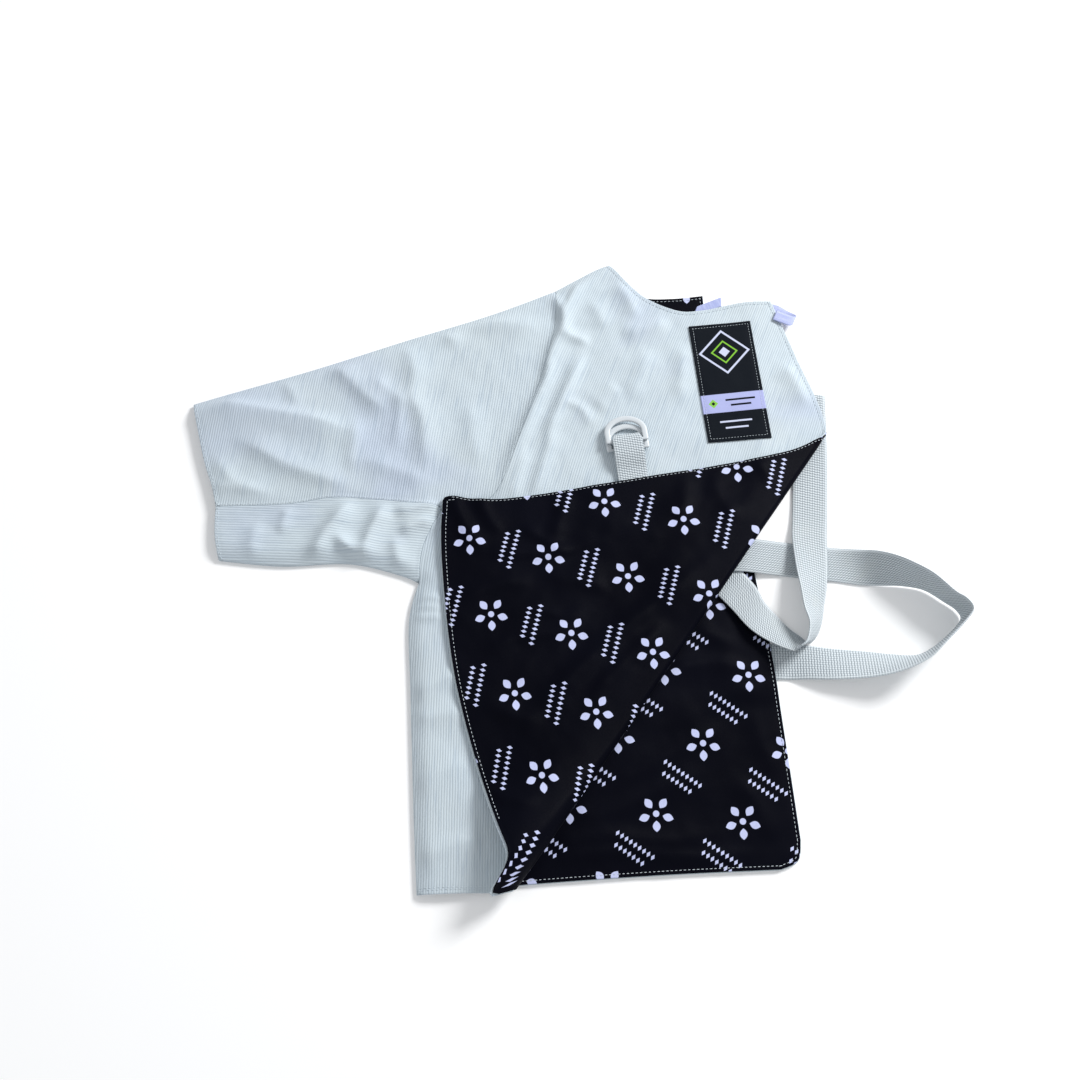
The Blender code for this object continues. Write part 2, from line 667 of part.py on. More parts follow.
def ring_outlines():
    """Outer and inner lines of a D, from the bar's left end round the arc, bar on y = 0."""
    outer, inner = [], []
    half_bar = RING_THICK / 2
    inner_half = RING_HALF_WIDTH - RING_BAND
    for k in range(RING_BAR_POINTS):
        t = -1 + 2 * k / (RING_BAR_POINTS - 1)
        outer.append((t * (RING_HALF_WIDTH - half_bar), -half_bar))
        inner.append((t * inner_half, half_bar))
    outer.append((RING_HALF_WIDTH, -half_bar * 0.2))
    inner.append((inner_half, half_bar + RING_CORNER))
    for k in range(RING_ARC_STEPS + 1):
        turn = math.pi * k / RING_ARC_STEPS
        outer.append((RING_HALF_WIDTH * math.cos(turn), RING_SIDE + RING_ARC * math.sin(turn)))
        arc = RING_ARC - RING_BAND
        inner.append((inner_half * math.cos(turn), RING_SIDE + arc * math.sin(turn)))
    outer.append((-RING_HALF_WIDTH, -half_bar * 0.2))
    inner.append((-inner_half, half_bar + RING_CORNER))
    return outer, inner


def make_ring(name, down_tab, bar_z, tilt, plastic):
    down, across = tab_frame()
    lean = math.radians(tilt)
    forward = -down * math.cos(lean) - Vector((0, 0, math.sin(lean)))
    normal = across.cross(forward).normalized()
    if normal.z < 0:
        normal = -normal
    pivot = Vector((TAB_TOP.x, TAB_TOP.y, bar_z)) + down * down_tab
    outer, inner = ring_outlines()
    points = []
    for (ox, oy), (ix, iy) in zip(outer, inner):
        for corner in RING_SECTION:
            x, y = ox + (ix - ox) * corner.inward, oy + (iy - oy) * corner.inward
            points.append(pivot + across * x + forward * y + normal * corner.height * RING_THICK / 2)
    faces = ring_faces(len(outer), len(RING_SECTION), closed=True)
    return add_object(name, points, faces, plastic, pivot)


def face_out(obj):
    bm = bmesh.new()
    bm.from_mesh(obj.data)
    bmesh.ops.recalc_face_normals(bm, faces=bm.faces[:])
    if bm.calc_volume(signed=True) < 0:
        bmesh.ops.reverse_faces(bm, faces=bm.faces[:])
    bm.to_mesh(obj.data)
    bm.free()


def main():
    for obj in list(bpy.data.objects):
        bpy.data.objects.remove(obj)
    cloth = material("ribbed_cotton", WHITE, 0.85)
    satin = material("dark_satin", BLACK, 0.45)
    webbing = material("white_webbing", WHITE, 0.7)
    ribbon = material("lavender_ribbon", LAVENDER, 0.4)
    plastic = material("white_plastic", WHITE, 0.35)
    woven = material("woven_label", BLACK, 0.6)
    make_back(cloth, satin)
    make_front(cloth, satin)
    make_sleeve(cloth)
    make_label(woven)
    make_neck_ribbon(ribbon)
    make_ribbon_loop(ribbon)
    make_tab(webbing)
    make_ring("ring_upper", BAR_UPPER_DOWN, BAR_UPPER_Z, UPPER_RING_TILT, plastic)
    make_ring("ring_lower", BAR_LOWER_DOWN, BAR_LOWER_Z, LOWER_RING_TILT, plastic)
    make_strap(webbing)
    for obj in bpy.data.objects:
        face_out(obj)


main()
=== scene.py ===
import math

import bmesh
import bpy
import numpy as np
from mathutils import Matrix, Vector, geometry, noise


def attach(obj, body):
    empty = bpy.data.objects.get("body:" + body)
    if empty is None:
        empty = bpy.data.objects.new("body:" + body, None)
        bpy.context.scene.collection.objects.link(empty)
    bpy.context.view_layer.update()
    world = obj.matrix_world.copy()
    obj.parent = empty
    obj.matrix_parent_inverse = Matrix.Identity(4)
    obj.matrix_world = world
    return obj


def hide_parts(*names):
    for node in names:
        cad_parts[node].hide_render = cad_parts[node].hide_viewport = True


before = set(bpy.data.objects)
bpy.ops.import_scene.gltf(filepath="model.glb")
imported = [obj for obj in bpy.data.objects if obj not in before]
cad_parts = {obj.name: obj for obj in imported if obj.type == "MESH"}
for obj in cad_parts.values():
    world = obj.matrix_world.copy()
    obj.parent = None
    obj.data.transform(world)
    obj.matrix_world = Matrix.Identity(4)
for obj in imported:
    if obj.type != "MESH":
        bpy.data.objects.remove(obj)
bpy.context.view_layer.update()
print("frame loaded")

# sizes are in millimetres about the middle of the photograph, and turned to metres in each mesh
planCentre = np.array((23.95, -13.5))
mm = 0.001


def rowPlace(points):  # millimetres about the photograph's middle to metres in the model's frame
    placed = np.array(points, float)
    placed[:, :2] -= planCentre
    return placed * mm


# smooth lines and soft shapes

def smoothstep(t):
    t = np.clip(t, 0.0, 1.0)
    return t * t * (3 - 2 * t)


def smoothRows(rows, steps):
    rows = np.array(rows, float)
    padded = np.vstack([rows[:1], rows, rows[-1:]])
    out = []
    for p0, p1, p2, p3 in zip(padded, padded[1:], padded[2:], padded[3:]):
        for k in range(steps):
            t = k / steps
            out.append(0.5 * (2 * p1 + (p2 - p0) * t + (2 * p0 - 5 * p1 + 4 * p2 - p3) * t * t
                              + (3 * p1 - p0 - 3 * p2 + p3) * t ** 3))
    out.append(rows[-1])
    return np.array(out)


def walked(line):  # the length along a line to each of its points
    return np.concatenate([[0], np.cumsum(np.linalg.norm(np.diff(line, axis=0), axis=1))])


def evenLine(points, spacing):  # the same line with points at an even spacing
    points = np.array(points, float)
    reach = walked(points)
    places = np.linspace(0, reach[-1], max(2, round(reach[-1] / spacing) + 1))
    return np.stack([np.interp(places, reach, points[:, k]) for k in range(points.shape[1])], axis=1)


def curve(points, spacing=4.0):
    return evenLine(smoothRows(points, 12), spacing)


def lineDistance(points, line):
    best = np.full(len(points), 1e9)
    for a, b in zip(line, line[1:]):
        span = b - a
        t = np.clip((points - a) @ span / max(span @ span, 1e-9), 0, 1)
        best = np.minimum(best, np.hypot(*(points - a - t[:, None] * span).T))
    return best


def swell(points, centre, inner, outer):
    return 1 - smoothstep((np.hypot(*(points - centre).T) - inner) / (outer - inner))


def inside(points, outline):
    found = np.zeros(len(points), bool)
    for (ax, ay), (bx, by) in zip(outline, np.roll(outline, -1, axis=0)):
        crosses = (ay > points[:, 1]) != (by > points[:, 1])
        at = ax + (points[:, 1] - ay) / ((by - ay) or 1e-9) * (bx - ax)
        found ^= crosses & (points[:, 0] < at)
    return found


# the cut of the garment
cut = {
    "shoulder": [(63, 265), (49, 259), (14, 238)],
    "sleeveTop": [(14, 238), (-43, 214), (-121, 187), (-199, 159), (-276, 134), (-303, 125)],
    "cuffUpper": [(-303, 125), (-289, 72), (-280, 47), (-275, 28)],
    "cuffUnder": [(-275, 28), (-274, 4), (-269.5, -19)],
    "underarm": [(-269.5, -19), (-217, -24), (-160, -22), (-117, -32), (-101, -39)],
    "armholeUpper": [(-82, 28), (-41, 37), (-14, 104), (11, 190), (14, 238)],
    "armholeUnder": [(-101, -39), (-98, -6), (-82, 28)],
    "sleeveSeam": [(-275, 28), (-215, 30), (-173, 36), (-116, 32), (-82, 28)],
    "side": [(-95, -292), (-99, -235), (-105, -131), (-108, -72), (-101, -39)],
    "frontNeck": [(63, 265), (75, 249), (93, 230), (122, 216), (145, 216), (180, 224), (207, 226)],
    "centre": [(207, 226), (227, 169), (248, 105), (246, 51), (262, -45), (290, -182), (309, -227)],
    "frontHem": [(309, -227), (311, -234.5), (304, -239.5), (257, -257), (154, -284), (51, -296), (-34, -291),
                 (-95, -292)],
    "backNeck": [(63, 265), (76, 245), (93, 232), (120, 231), (147, 234)],
    "backEdge": [(147, 234), (152, 160), (168, 60), (180, -31), (191, -110), (204, -250)],
    "backCorner": [(204, -250), (201, -266), (187, -273)],
    "backHem": [(187, -273), (99, -277), (-5, -284), (-95, -292)],
}
lines = {name: curve(points) for name, points in cut.items()}
closedLines = [curve(cut[name], 8) for name in ("shoulder", "sleeveTop", "side", "underarm")]

layers = {
    "cloth": 1.2, "lining": 1.0, "gap": 0.3,
    "bodyUnderside": 5.4, "sleeveUnderside": 5.0, "dropFrom": 30, "dropOver": 90,
    "closedUnderside": 1.5, "edgeDrop": 14.0,
}
fold = {
    "foot": np.array((-15.0, -285.0)), "head": np.array((246.0, 94.0)),
    "radius": 3.4, "openRadius": 10.6, "openLength": 90.0,
    "lie": 4.2, "settle": 75.0, "tabLift": 3.2, "calm": 6, "creaseOver": 24, "waveOver": 22,
}
fold["along"] = (fold["head"] - fold["foot"]) / np.hypot(*(fold["head"] - fold["foot"]))
fold["across"] = np.array((fold["along"][1], -fold["along"][0]))

# creases: height, width of the steep and of the gentle side, and the crest
chestRidges = [
    (3.6, 5.5, 7, [(-46, 14), (-40, 30), (-33, 44), (-23, 76), (-13, 100), (-5, 122), (5, 148), (8, 166),
                   (13, 182), (20, 197), (21, 208), (16, 222), (9, 240), (2, 262), (-4, 284)]),
    (3.2, 6.5, 5, [(2, 80), (11, 106), (19, 126), (27, 146), (36, 166), (41, 180)]),
    (2.0, 5, 6, [(46, 183), (32, 187), (16, 195)]),
    (2.0, 5, 7, [(-9, 30), (-2, 52), (6, 78), (14, 102)]),
    (1.4, 5, 6, [(-26, 30), (-19, 56), (-10, 84)]),
    (3.0, 2.8, 8, [(18, 206), (25, 222), (32, 240), (38, 256), (44, 272)]),
    (1.2, 4, 5, [(44, 100), (36, 119), (17, 126)]),
    (1.6, 10, 9, [(74, 126), (86, 150), (98, 180)]),
    (1.4, 9, 8, [(46, 118), (60, 132), (72, 140)]),
    (1.8, 8, 6, [(86, 204), (80, 226), (66, 246)]),
    (1.8, 9, 7, [(118, 207), (94, 197), (70, 190)]),
    (1.4, 8, 8, [(58, 196), (52, 212), (44, 226)]),
    (2.0, 10, 7, [(234, 118), (226, 140), (212, 168)]),
    (1.5, 8, 8, [(122, 120), (124, 150), (126, 186)]),
]
sideRidges = [
    (1.1, 3.2, 3.4, [(-78, -54), (-94, -53), (-110, -56)]),
    (1.0, 3.0, 3.0, [(-78, -62), (-94, -61), (-110, -63)]),
    (1.0, 3.2, 3.4, [(-78, -69), (-94, -70), (-110, -70)]),
    (1.9, 9, 7, [(-58, -116), (-82, -124), (-110, -142)]),
    (1.2, 8, 8, [(-54, -148), (-78, -151), (-108, -158)]),
    (1.4, 10, 10, [(-56, -190), (-80, -198), (-104, -216)]),
    (1.8, 10, 8, [(-40, -246), (-68, -254), (-102, -270)]),
]
sleeveRidges = [
    (3.4, 8, 15, [(-126, 112), (-150, 130), (-168, 148), (-190, 172)]),
    (1.8, 8, 9, [(-112, 120), (-132, 136), (-150, 152)]),
    (3.2, 9, 12, [(-96, 46), (-99, 80), (-102, 108), (-111, 130), (-111, 158), (-124, 192)]),
    (1.6, 7, 6, [(-123, 76), (-122, 108), (-124, 140)]),
    (4.4, 20, 7, [(-150, 90), (-188, 106), (-215, 112), (-240, 117), (-270, 123), (-310, 130)]),
    (1.9, 7, 10, [(-161, 54), (-161, 84), (-158, 114)]),
    (3.4, 8, 12, [(-150, 42), (-182, 53), (-203, 60), (-222, 68), (-240, 79), (-270, 94)]),
    (1.7, 7, 7, [(-232, 44), (-260, 50), (-282, 78)]),
    (1.5, 6, 6, [(-222, 38), (-248, 43), (-284, 46)]),
    (1.8, 9, 9, [(-86, 46), (-126, 62), (-160, 74)]),
    (2.2, 12, 9, [(6, 198), (-35, 203), (-70, 212)]),
    (1.6, 7, 9, [(-70, 178), (-86, 196), (-92, 206)]),
    (1.4, 6, 8, [(-208, 120), (-219, 138), (-228, 152)]),
    (1.5, 10, 10, [(-52, 60), (-58, 96), (-62, 130)]),
]
underarmRidges = [
    (4.0, 8, 8, [(-194, -34), (-184, -6), (-174, 12), (-156, 38)]),
    (3.4, 6, 7, [(-142, -30), (-158, -12), (-176, 4)]),
    (3.6, 7, 8, [(-150, -30), (-143, 2), (-128, 36)]),
    (2.2, 7, 4, [(-82, 29), (-104, 27), (-126, 22)]),
    (2.2, 5, 5, [(-84, 15), (-104, 12), (-120, 2)]),
    (1.6, 6, 7, [(-116, -34), (-120, -14), (-124, 2)]),
    (1.3, 5, 6, [(-220, 2), (-216, 14), (-214, 30)]),
    (1.4, 7, 8, [(-238, -30), (-242, -6), (-236, 16)]),
]
flapRidges = [
    (2.4, 8, 11, [(-20, -170), (38, -108), (92, -62), (146, -18)]),
    (1.7, 6, 8, [(30, -150), (70, -108), (108, -72)]),
    (1.8, 5, 7, [(-48, -14), (-62, 6), (-72, 30), (-74, 48)]),
    (1.6, 5, 6, [(-28, 0), (-44, 16), (-54, 44)]),
    (2.0, 6, 9, [(8, -8), (16, 12), (20, 44)]),
    (1.5, 5, 6, [(28, -18), (6, -6), (-18, 12)]),
    (1.2, 4, 6, [(70, 2), (40, -8), (8, -17), (-30, -15), (-66, -16)]),
    (1.5, 6, 8, [(0, -44), (-30, -42), (-66, -58)]),
    (1.2, 5, 5, [(42, -66), (18, -70), (-14, -62)]),
    (1.5, 6, 7, [(44, -74), (10, -84), (-22, -90), (-50, -106)]),
    (1.6, 8, 9, [(4, -160), (-20, -154), (-50, -142)]),
    (1.5, 6, 8, [(4, -226), (-22, -221), (-52, -206)]),
    (1.3, 8, 9, [(112, 8), (122, 30), (126, 58)]),
    (1.4, 8, 8, [(172, 8), (152, 34), (144, 62)]),
    (1.2, 6, 7, [(206, 40), (192, 56), (184, 74)]),
    (1.5, 8, 9, [(60, -50), (34, -40), (0, -36)]),
]
backRidges = [
    (2.2, 6, 9, [(78, -168), (84, -136), (97, -118), (124, -109), (152, -109), (188, -120)]),
    (1.6, 6, 8, [(112, -78), (140, -82), (166, -94)]),
    (1.8, 10, 14, [(96, -164), (130, -146), (162, -132), (192, -138)]),
    (1.8, 8, 10, [(44, -212), (84, -194), (122, -172), (160, -158)]),
    (1.8, 7, 9, [(22, -236), (62, -226), (104, -206), (138, -196)]),
    (2.0, 7, 8, [(0, -254), (52, -247), (100, -251), (150, -242)]),
    (1.8, 5, 6, [(-6, -268), (60, -259), (120, -263), (188, -256)]),
    (1.5, 9, 10, [(150, -196), (170, -222), (182, -256)]),
    (1.4, 8, 9, [(172, -140), (176, -170), (190, -204)]),
]


ridgeShape = {
    "fade": 0.3, "sharpness": 1.6, "spacing": 5,
    "body": 1.65, "sleeve": 1.35, "underarm": 1.8, "flap": 1.5,
}
crumples = {"body": (1.7, 26.0, 1.1), "flap": (5.2, 20.0, 1.4), "back": (8.1, 22.0, 0.9)}


def ridgeHeight(points, ridges):  # soft ridges along crests that are walked with the steep side on the left
    rise = np.zeros(len(points))
    for height, steep, gentle, crest in ridges:
        line = curve(crest, ridgeShape["spacing"])
        steps = np.diff(line, axis=0)
        lengths = np.hypot(*steps.T)
        reach = np.concatenate([[0], np.cumsum(lengths)])
        gap = np.full(len(points), 1e9)
        left, share = np.ones(len(points), bool), np.zeros(len(points))
        for place, span, length, start in zip(line, steps, lengths, reach):
            off = points - place
            t = np.clip(off @ span / length ** 2, 0, 1)
            near = np.hypot(*(off - t[:, None] * span).T)
            closer = near < gap
            gap = np.where(closer, near, gap)
            left = np.where(closer, span[0] * off[:, 1] > span[1] * off[:, 0], left)
            share = np.where(closer, (start + t * length) / reach[-1], share)
        ends = smoothstep(share / ridgeShape["fade"]) * smoothstep((1 - share) / ridgeShape["fade"])
        rise += height * ends * np.exp(-((gap / np.where(left, steep, gentle)) ** ridgeShape["sharpness"]))
    return rise


def crumple(points, seed, scale, height):  # small uneven relief, never below the plain cloth
    return np.array([height * (0.5 + 0.5 * noise.fractal(Vector((x / scale, y / scale, seed)), 1.0, 2.0, 3))
                     for x, y in points])


def closedDistance(points):
    return np.min([lineDistance(points, line) for line in closedLines], axis=0)


def closedFade(points):  # 0 on the joined edges, 1 where the cloth is free to crease
    return smoothstep(closedDistance(points) / layers["edgeDrop"])


def foldPlaces(points):
    at = points - fold["foot"]
    return at @ fold["along"], at @ fold["across"]


def foldRadius(along):
    return fold["radius"] + fold["openRadius"] * np.exp(-((np.maximum(along, 0) / fold["openLength"]) ** 2))


# places where the cloth is lifted or drawn in; over the strap: height, middle, and radii of top and foot
overStrap = [(3.0, (155, -22), 36, 76), (1.95, (178, -104), 30, 70)]
overTab = {"raise": ((81, 34), 26, 70), "calm": ((81, 58), 26, 44)}
chestCorner = {"sunk": 2.0, "fromX": 185, "overX": 45, "fromY": 10, "overY": 60}
backStep = {"height": 1.95, "west": 158, "south": -123, "north": -87, "slope": 24}
backCalm = {"middle": (178, -52), "top": 34, "foot": 52, "fold": 4, "foldOver": 16, "edgeOver": 12}
dips = {"armholeUnder": (1.1, 8), "armholeUpper": (0.7, 4)}
curl = {"reach": 19, "middle": 2.2, "before": 0.55, "after": 0.8, "swing": (-21.0, -12.0)}


def upperHeight(points):  # the joint between outer cloth and lining over a place on the table
    sleeveDrop = layers["bodyUnderside"] - layers["sleeveUnderside"]
    overSleeve = smoothstep((layers["dropFrom"] - points[:, 0]) / layers["dropOver"])
    inner = layers["bodyUnderside"] - sleeveDrop * overSleeve
    rise = 1 - (1 - np.minimum(closedDistance(points) / layers["edgeDrop"], 1)) ** 2
    height = layers["closedUnderside"] + (inner - layers["closedUnderside"]) * rise - layers["gap"] / 2
    height += sum(lift * swell(points, middle, top, foot) for lift, middle, top, foot in overStrap)
    sunk = chestCorner["sunk"] * smoothstep((points[:, 0] - chestCorner["fromX"]) / chestCorner["overX"])
    return height - sunk * smoothstep((points[:, 1] - chestCorner["fromY"]) / chestCorner["overY"])


def seamDip(points):  # cloth draws in along the armhole seam
    dip = sum(depth * np.exp(-((lineDistance(points, lines[name]) / width) ** 2))
              for name, (depth, width) in dips.items())
    return dip * closedFade(points)


def clothRelief(points):
    rise = ridgeShape["body"] * ridgeHeight(points, chestRidges + sideRidges)
    rise += ridgeShape["sleeve"] * ridgeHeight(points, sleeveRidges)
    rise += ridgeShape["underarm"] * ridgeHeight(points, underarmRidges)
    return rise + crumple(points, *crumples["body"])


def footCurl(points, turn):  # at the hem the top of the roll swings back to the left; turn is in radians
    near = np.exp(-((lineDistance(points, lines["frontHem"]) / curl["reach"]) ** 2))
    width = np.where(turn < curl["middle"], curl["before"], curl["after"])
    swing = np.exp(-(((turn - curl["middle"]) / width) ** 2))
    return (near * swing)[:, None] * np.array(curl["swing"])


def frontForm(points, lift):  # lying, rolled or turned back, by its place in the flat cut
    lift = np.broadcast_to(np.asarray(lift, float), len(points))
    alongAt, past = foldPlaces(points)
    radius = foldRadius(alongAt)
    start = past + radius
    turn = math.pi * radius
    angle = np.clip(start / radius, 0, math.pi)
    foot = fold["foot"] + alongAt[:, None] * fold["along"] - radius[:, None] * fold["across"]
    rolled = foot + ((radius - lift) * np.sin(angle))[:, None] * fold["across"]
    turned = foot - np.maximum(start - turn, 0)[:, None] * fold["across"]
    plan = np.where((start <= 0)[:, None], points, np.where((start < turn)[:, None], rolled, turned))
    plan = plan + footCurl(points, start / radius)
    base = upperHeight(plan) - np.where(start <= 0, seamDip(plan), 0)
    crease = clothRelief(points) * closedFade(points) * (lift > 0)
    crease *= smoothstep((-start - fold["calm"]) / fold["creaseOver"])
    wave = ridgeShape["flap"] * ridgeHeight(plan, flapRidges) + crumple(plan, *crumples["flap"])
    wave *= smoothstep((start - turn) / fold["waveOver"]) * (1 - swell(plan, *overTab["calm"]))
    lie = fold["lie"] + fold["tabLift"] * swell(plan, *overTab["raise"])
    settle = 1 - smoothstep((start - turn) / fold["settle"])
    height = np.where(
        start <= 0, base + lift + crease,
        np.where(start < turn, base + radius - (radius - lift) * np.cos(angle),
                 base + lie + (2 * radius - lie) * settle - lift + wave))
    return np.column_stack([plan, height])


def sleeveForm(points, lift):  # falls into the armhole seam, where the front's edge lies over it
    height = upperHeight(points) + clothRelief(points) * closedFade(points) - seamDip(points)
    height = np.maximum(height, layers["closedUnderside"] - layers["gap"] / 2)
    return np.column_stack([points, height + lift])


def backForm(points, lift):  # flat on the table, and raised where the strap's first end lies under it
    x, y = points.T
    beside = np.maximum(np.maximum(backStep["south"] - y, y - backStep["north"]), 0)
    past = np.hypot(np.maximum(backStep["west"] - x, 0), beside)
    raised = backStep["height"] * (1 - smoothstep(past / backStep["slope"]))
    return np.column_stack([points, raised + lift])


def backLiningForm(points, lift):  # ripples where it shows beyond the fold
    shown = smoothstep((foldPlaces(points)[1] + backCalm["fold"]) / backCalm["foldOver"])
    shown *= 1 - swell(points, backCalm["middle"], backCalm["top"], backCalm["foot"])
    shown *= smoothstep(lineDistance(points, lines["backEdge"]) / backCalm["edgeOver"])
    ripple = ridgeHeight(points, backRidges) + crumple(points, *crumples["back"])
    return backForm(points, lift) + np.column_stack([np.zeros((len(points), 2)), ripple * shown])


# cloth panels: a flat cut in fine cells, then a shell with rounded edges between two lifts of a form

def insetOutline(sides):  # sides go round the panel with its cloth on the left, each with its inset
    outline = np.vstack([line[:-1] for line, _ in sides])
    insets = np.concatenate([np.resize(inset, len(line) - 1) for line, inset in sides])
    insets = (insets + np.roll(insets, 1)) / 2
    before = outline - np.roll(outline, 1, axis=0)
    after = np.roll(outline, -1, axis=0) - outline
    before /= np.hypot(*before.T)[:, None]
    after /= np.hypot(*after.T)[:, None]
    normal = np.column_stack([-before[:, 1] - after[:, 1], before[:, 0] + after[:, 0]])
    normal /= np.hypot(*normal.T)[:, None]
    stretch = 1 / np.maximum(normal[:, 0] * -after[:, 1] + normal[:, 1] * after[:, 0], 0.6)
    return outline, normal * stretch[:, None], insets


cellSize = {
    "rim": (0.12, 0.4, 1.6, 3.2, 4.8), "rowShare": 0.87, "clear": 1.2, "foldClear": 1.5,
    "foldFrom": -30, "foldTo": 480, "foldStep": 3.6, "foldTurns": 17,
}


def flatCells(sides, spacing, rim=cellSize["rim"], folded=False):
    outline, normal, insets = insetOutline(sides)
    outline = outline + normal * insets[:, None]
    closed = np.vstack([outline, outline[:1]])
    rings = []
    for depth in rim:
        ring = outline + normal * depth
        keep = inside(ring, outline) & (lineDistance(ring, closed) > depth * 0.93)
        rings.append(ring[keep])
    low, high = outline.min(axis=0), outline.max(axis=0)
    columns = np.arange(low[0], high[0], spacing)
    rows = np.arange(low[1], high[1], spacing * cellSize["rowShare"])
    lattice = np.array([(x + (spacing / 2 if k % 2 else 0), y) for k, y in enumerate(rows) for x in columns])
    if folded:
        alongAt, past = foldPlaces(lattice)
        radius = foldRadius(alongAt)
        start, clear = past + radius, cellSize["foldClear"]
        lattice = lattice[(start < -clear) | (start > math.pi * radius + clear)]
        along = np.arange(cellSize["foldFrom"], cellSize["foldTo"], cellSize["foldStep"])
        turns = np.linspace(0, 1, cellSize["foldTurns"])
        alongAt, share = [grid.ravel() for grid in np.meshgrid(along, turns)]
        radius = foldRadius(alongAt)
        past = share * math.pi * radius - radius
        band = fold["foot"] + alongAt[:, None] * fold["along"] + past[:, None] * fold["across"]
        lattice = np.vstack([lattice, band])
    lattice = lattice[inside(lattice, outline)]
    lattice = lattice[lineDistance(lattice, closed) > rim[-1] + cellSize["clear"]]
    points = np.vstack([outline] + rings + [lattice])
    count = len(outline)
    border = [(i, (i + 1) % count) for i in range(count)]
    verts, _, faces, _, _, _ = geometry.delaunay_2d_cdt([Vector(p) for p in points], border, [], 1, 1e-4)
    flat = np.array([(v.x, v.y) for v in verts])
    return flat, faces, lineDistance(flat, closed), closed


edges = {"seamDent": 0.22, "seamWidth": 0.9, "leastHalf": 0.3, "panelRounding": 0.3, "wear": 5}


def edgeProfile(depth, thickness, seamDepth=None, rounding=1.0):  # half the thickness by the edge's distance
    half = thickness / 2 * np.sqrt(1 - (1 - np.minimum(depth / (thickness * rounding), 1)) ** 2)
    if seamDepth:
        dent = edges["seamDent"] * np.exp(-(((depth - seamDepth) / edges["seamWidth"]) ** 2))
        half = half - dent * (half > edges["leastHalf"])
    return half


def linked(name, data):
    made = bpy.data.objects.new(name, data)
    bpy.context.scene.collection.objects.link(made)
    return made


def addMesh(name, points, faces, uvs=None, edge=None):  # points in millimetres, uvs in metres by point
    mesh = bpy.data.meshes.new(name)
    mesh.from_pydata(rowPlace(points).tolist(), [], [list(f) for f in faces])
    if uvs is not None:
        layer = mesh.uv_layers.new(name="cut")
        corner = np.empty(len(mesh.loops), np.int32)
        mesh.loops.foreach_get("vertex_index", corner)
        layer.data.foreach_set("uv", np.asarray(uvs, np.float32)[corner].ravel())
    if edge is not None:
        mesh.attributes.new("edge", "FLOAT", "POINT").data.foreach_set("value", np.asarray(edge, np.float32))
    mesh.shade_smooth()
    return linked(name, mesh)


def panel(name, cells, form, lift, thickness, cutMap, seamDepth=None):
    flat, faces, depth, _ = cells
    half = edgeProfile(depth, thickness, seamDepth, edges["panelRounding"])
    rim = depth < 1e-3
    top = form(flat, lift + half)
    bottom = form(flat, lift - half)
    number = np.arange(len(flat)) + len(flat)
    number[rim] = np.flatnonzero(rim)
    used = np.full(2 * len(flat), -1)
    points = np.vstack([top, bottom])
    kept = np.concatenate([np.arange(len(flat)), number[~rim]])
    used[kept] = np.arange(len(kept))
    polygons = [tuple(f) for f in faces]
    polygons += [tuple(used[number[i]] for i in reversed(f)) for f in faces]
    uvs = cutMap(flat) * mm
    wear = np.exp(-depth / edges["wear"])
    source = np.concatenate([np.arange(len(flat)), np.flatnonzero(~rim)])
    return addMesh(name, points[kept], polygons, uvs[source], wear[source])


def finishPiece(obj, look, nodes, body="garment"):
    obj.data.materials.clear()
    obj.data.materials.append(look)
    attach(obj, body)
    if nodes:
        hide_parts(*nodes)
    return obj


def declareCloth(cells):
    flat, outline = cells[0], cells[3]
    width, length = (flat.max(axis=0) - flat.min(axis=0)) * mm


def clothPiece(name, node, cloth, cells, form, lift, cutMap, seamDepth=None):
    thickness, look, slot = cloth
    made = panel(name, cells, form, lift, thickness, cutMap, seamDepth)
    finishPiece(made, look, [node])
    declareCloth(cells)


# shader maths: a wire is a socket that takes part in Python expressions

class Wire:
    def __init__(self, look, socket):
        self.look, self.socket = look, socket

    def math(self, operation, first, second=0.0):
        return self.look.node("ShaderNodeMath", {"operation": operation}, {0: first, 1: second})

    def __add__(self, other):
        return self.math("ADD", self, other)

    __radd__ = __add__

    def __mul__(self, other):
        return self.math("MULTIPLY", self, other)

    __rmul__ = __mul__

    def __sub__(self, other):
        return self.math("SUBTRACT", self, other)

    def __rsub__(self, other):
        return self.math("SUBTRACT", other, self)

    def __truediv__(self, other):
        return self.math("DIVIDE", self, other)

    def __pow__(self, other):
        return self.math("POWER", self, other)

    def sine(self):
        return self.math("SINE", self)

    def size(self):
        return self.math("ABSOLUTE", self)

    def part(self):  # the fraction
        return self.math("FRACT", self)

    def whole(self):
        return self.math("FLOOR", self)

    def below(self, limit, soft=0.0):
        if not soft:
            return self.math("LESS_THAN", self, limit)
        return self.look.node("ShaderNodeMapRange", {"interpolation_type": "SMOOTHSTEP"}, {
            "Value": self, "From Min": limit - soft, "From Max": limit + soft, "To Min": 1.0, "To Max": 0.0})

    def ramp(self, low, high):  # smooth from 0 at low to 1 at high
        return self.look.node("ShaderNodeMapRange", {"interpolation_type": "SMOOTHSTEP"}, {
            "Value": self, "From Min": low, "From Max": high})

    def least(self, other):
        return self.math("MINIMUM", self, other)

    def most(self, other):
        return self.math("MAXIMUM", self, other)


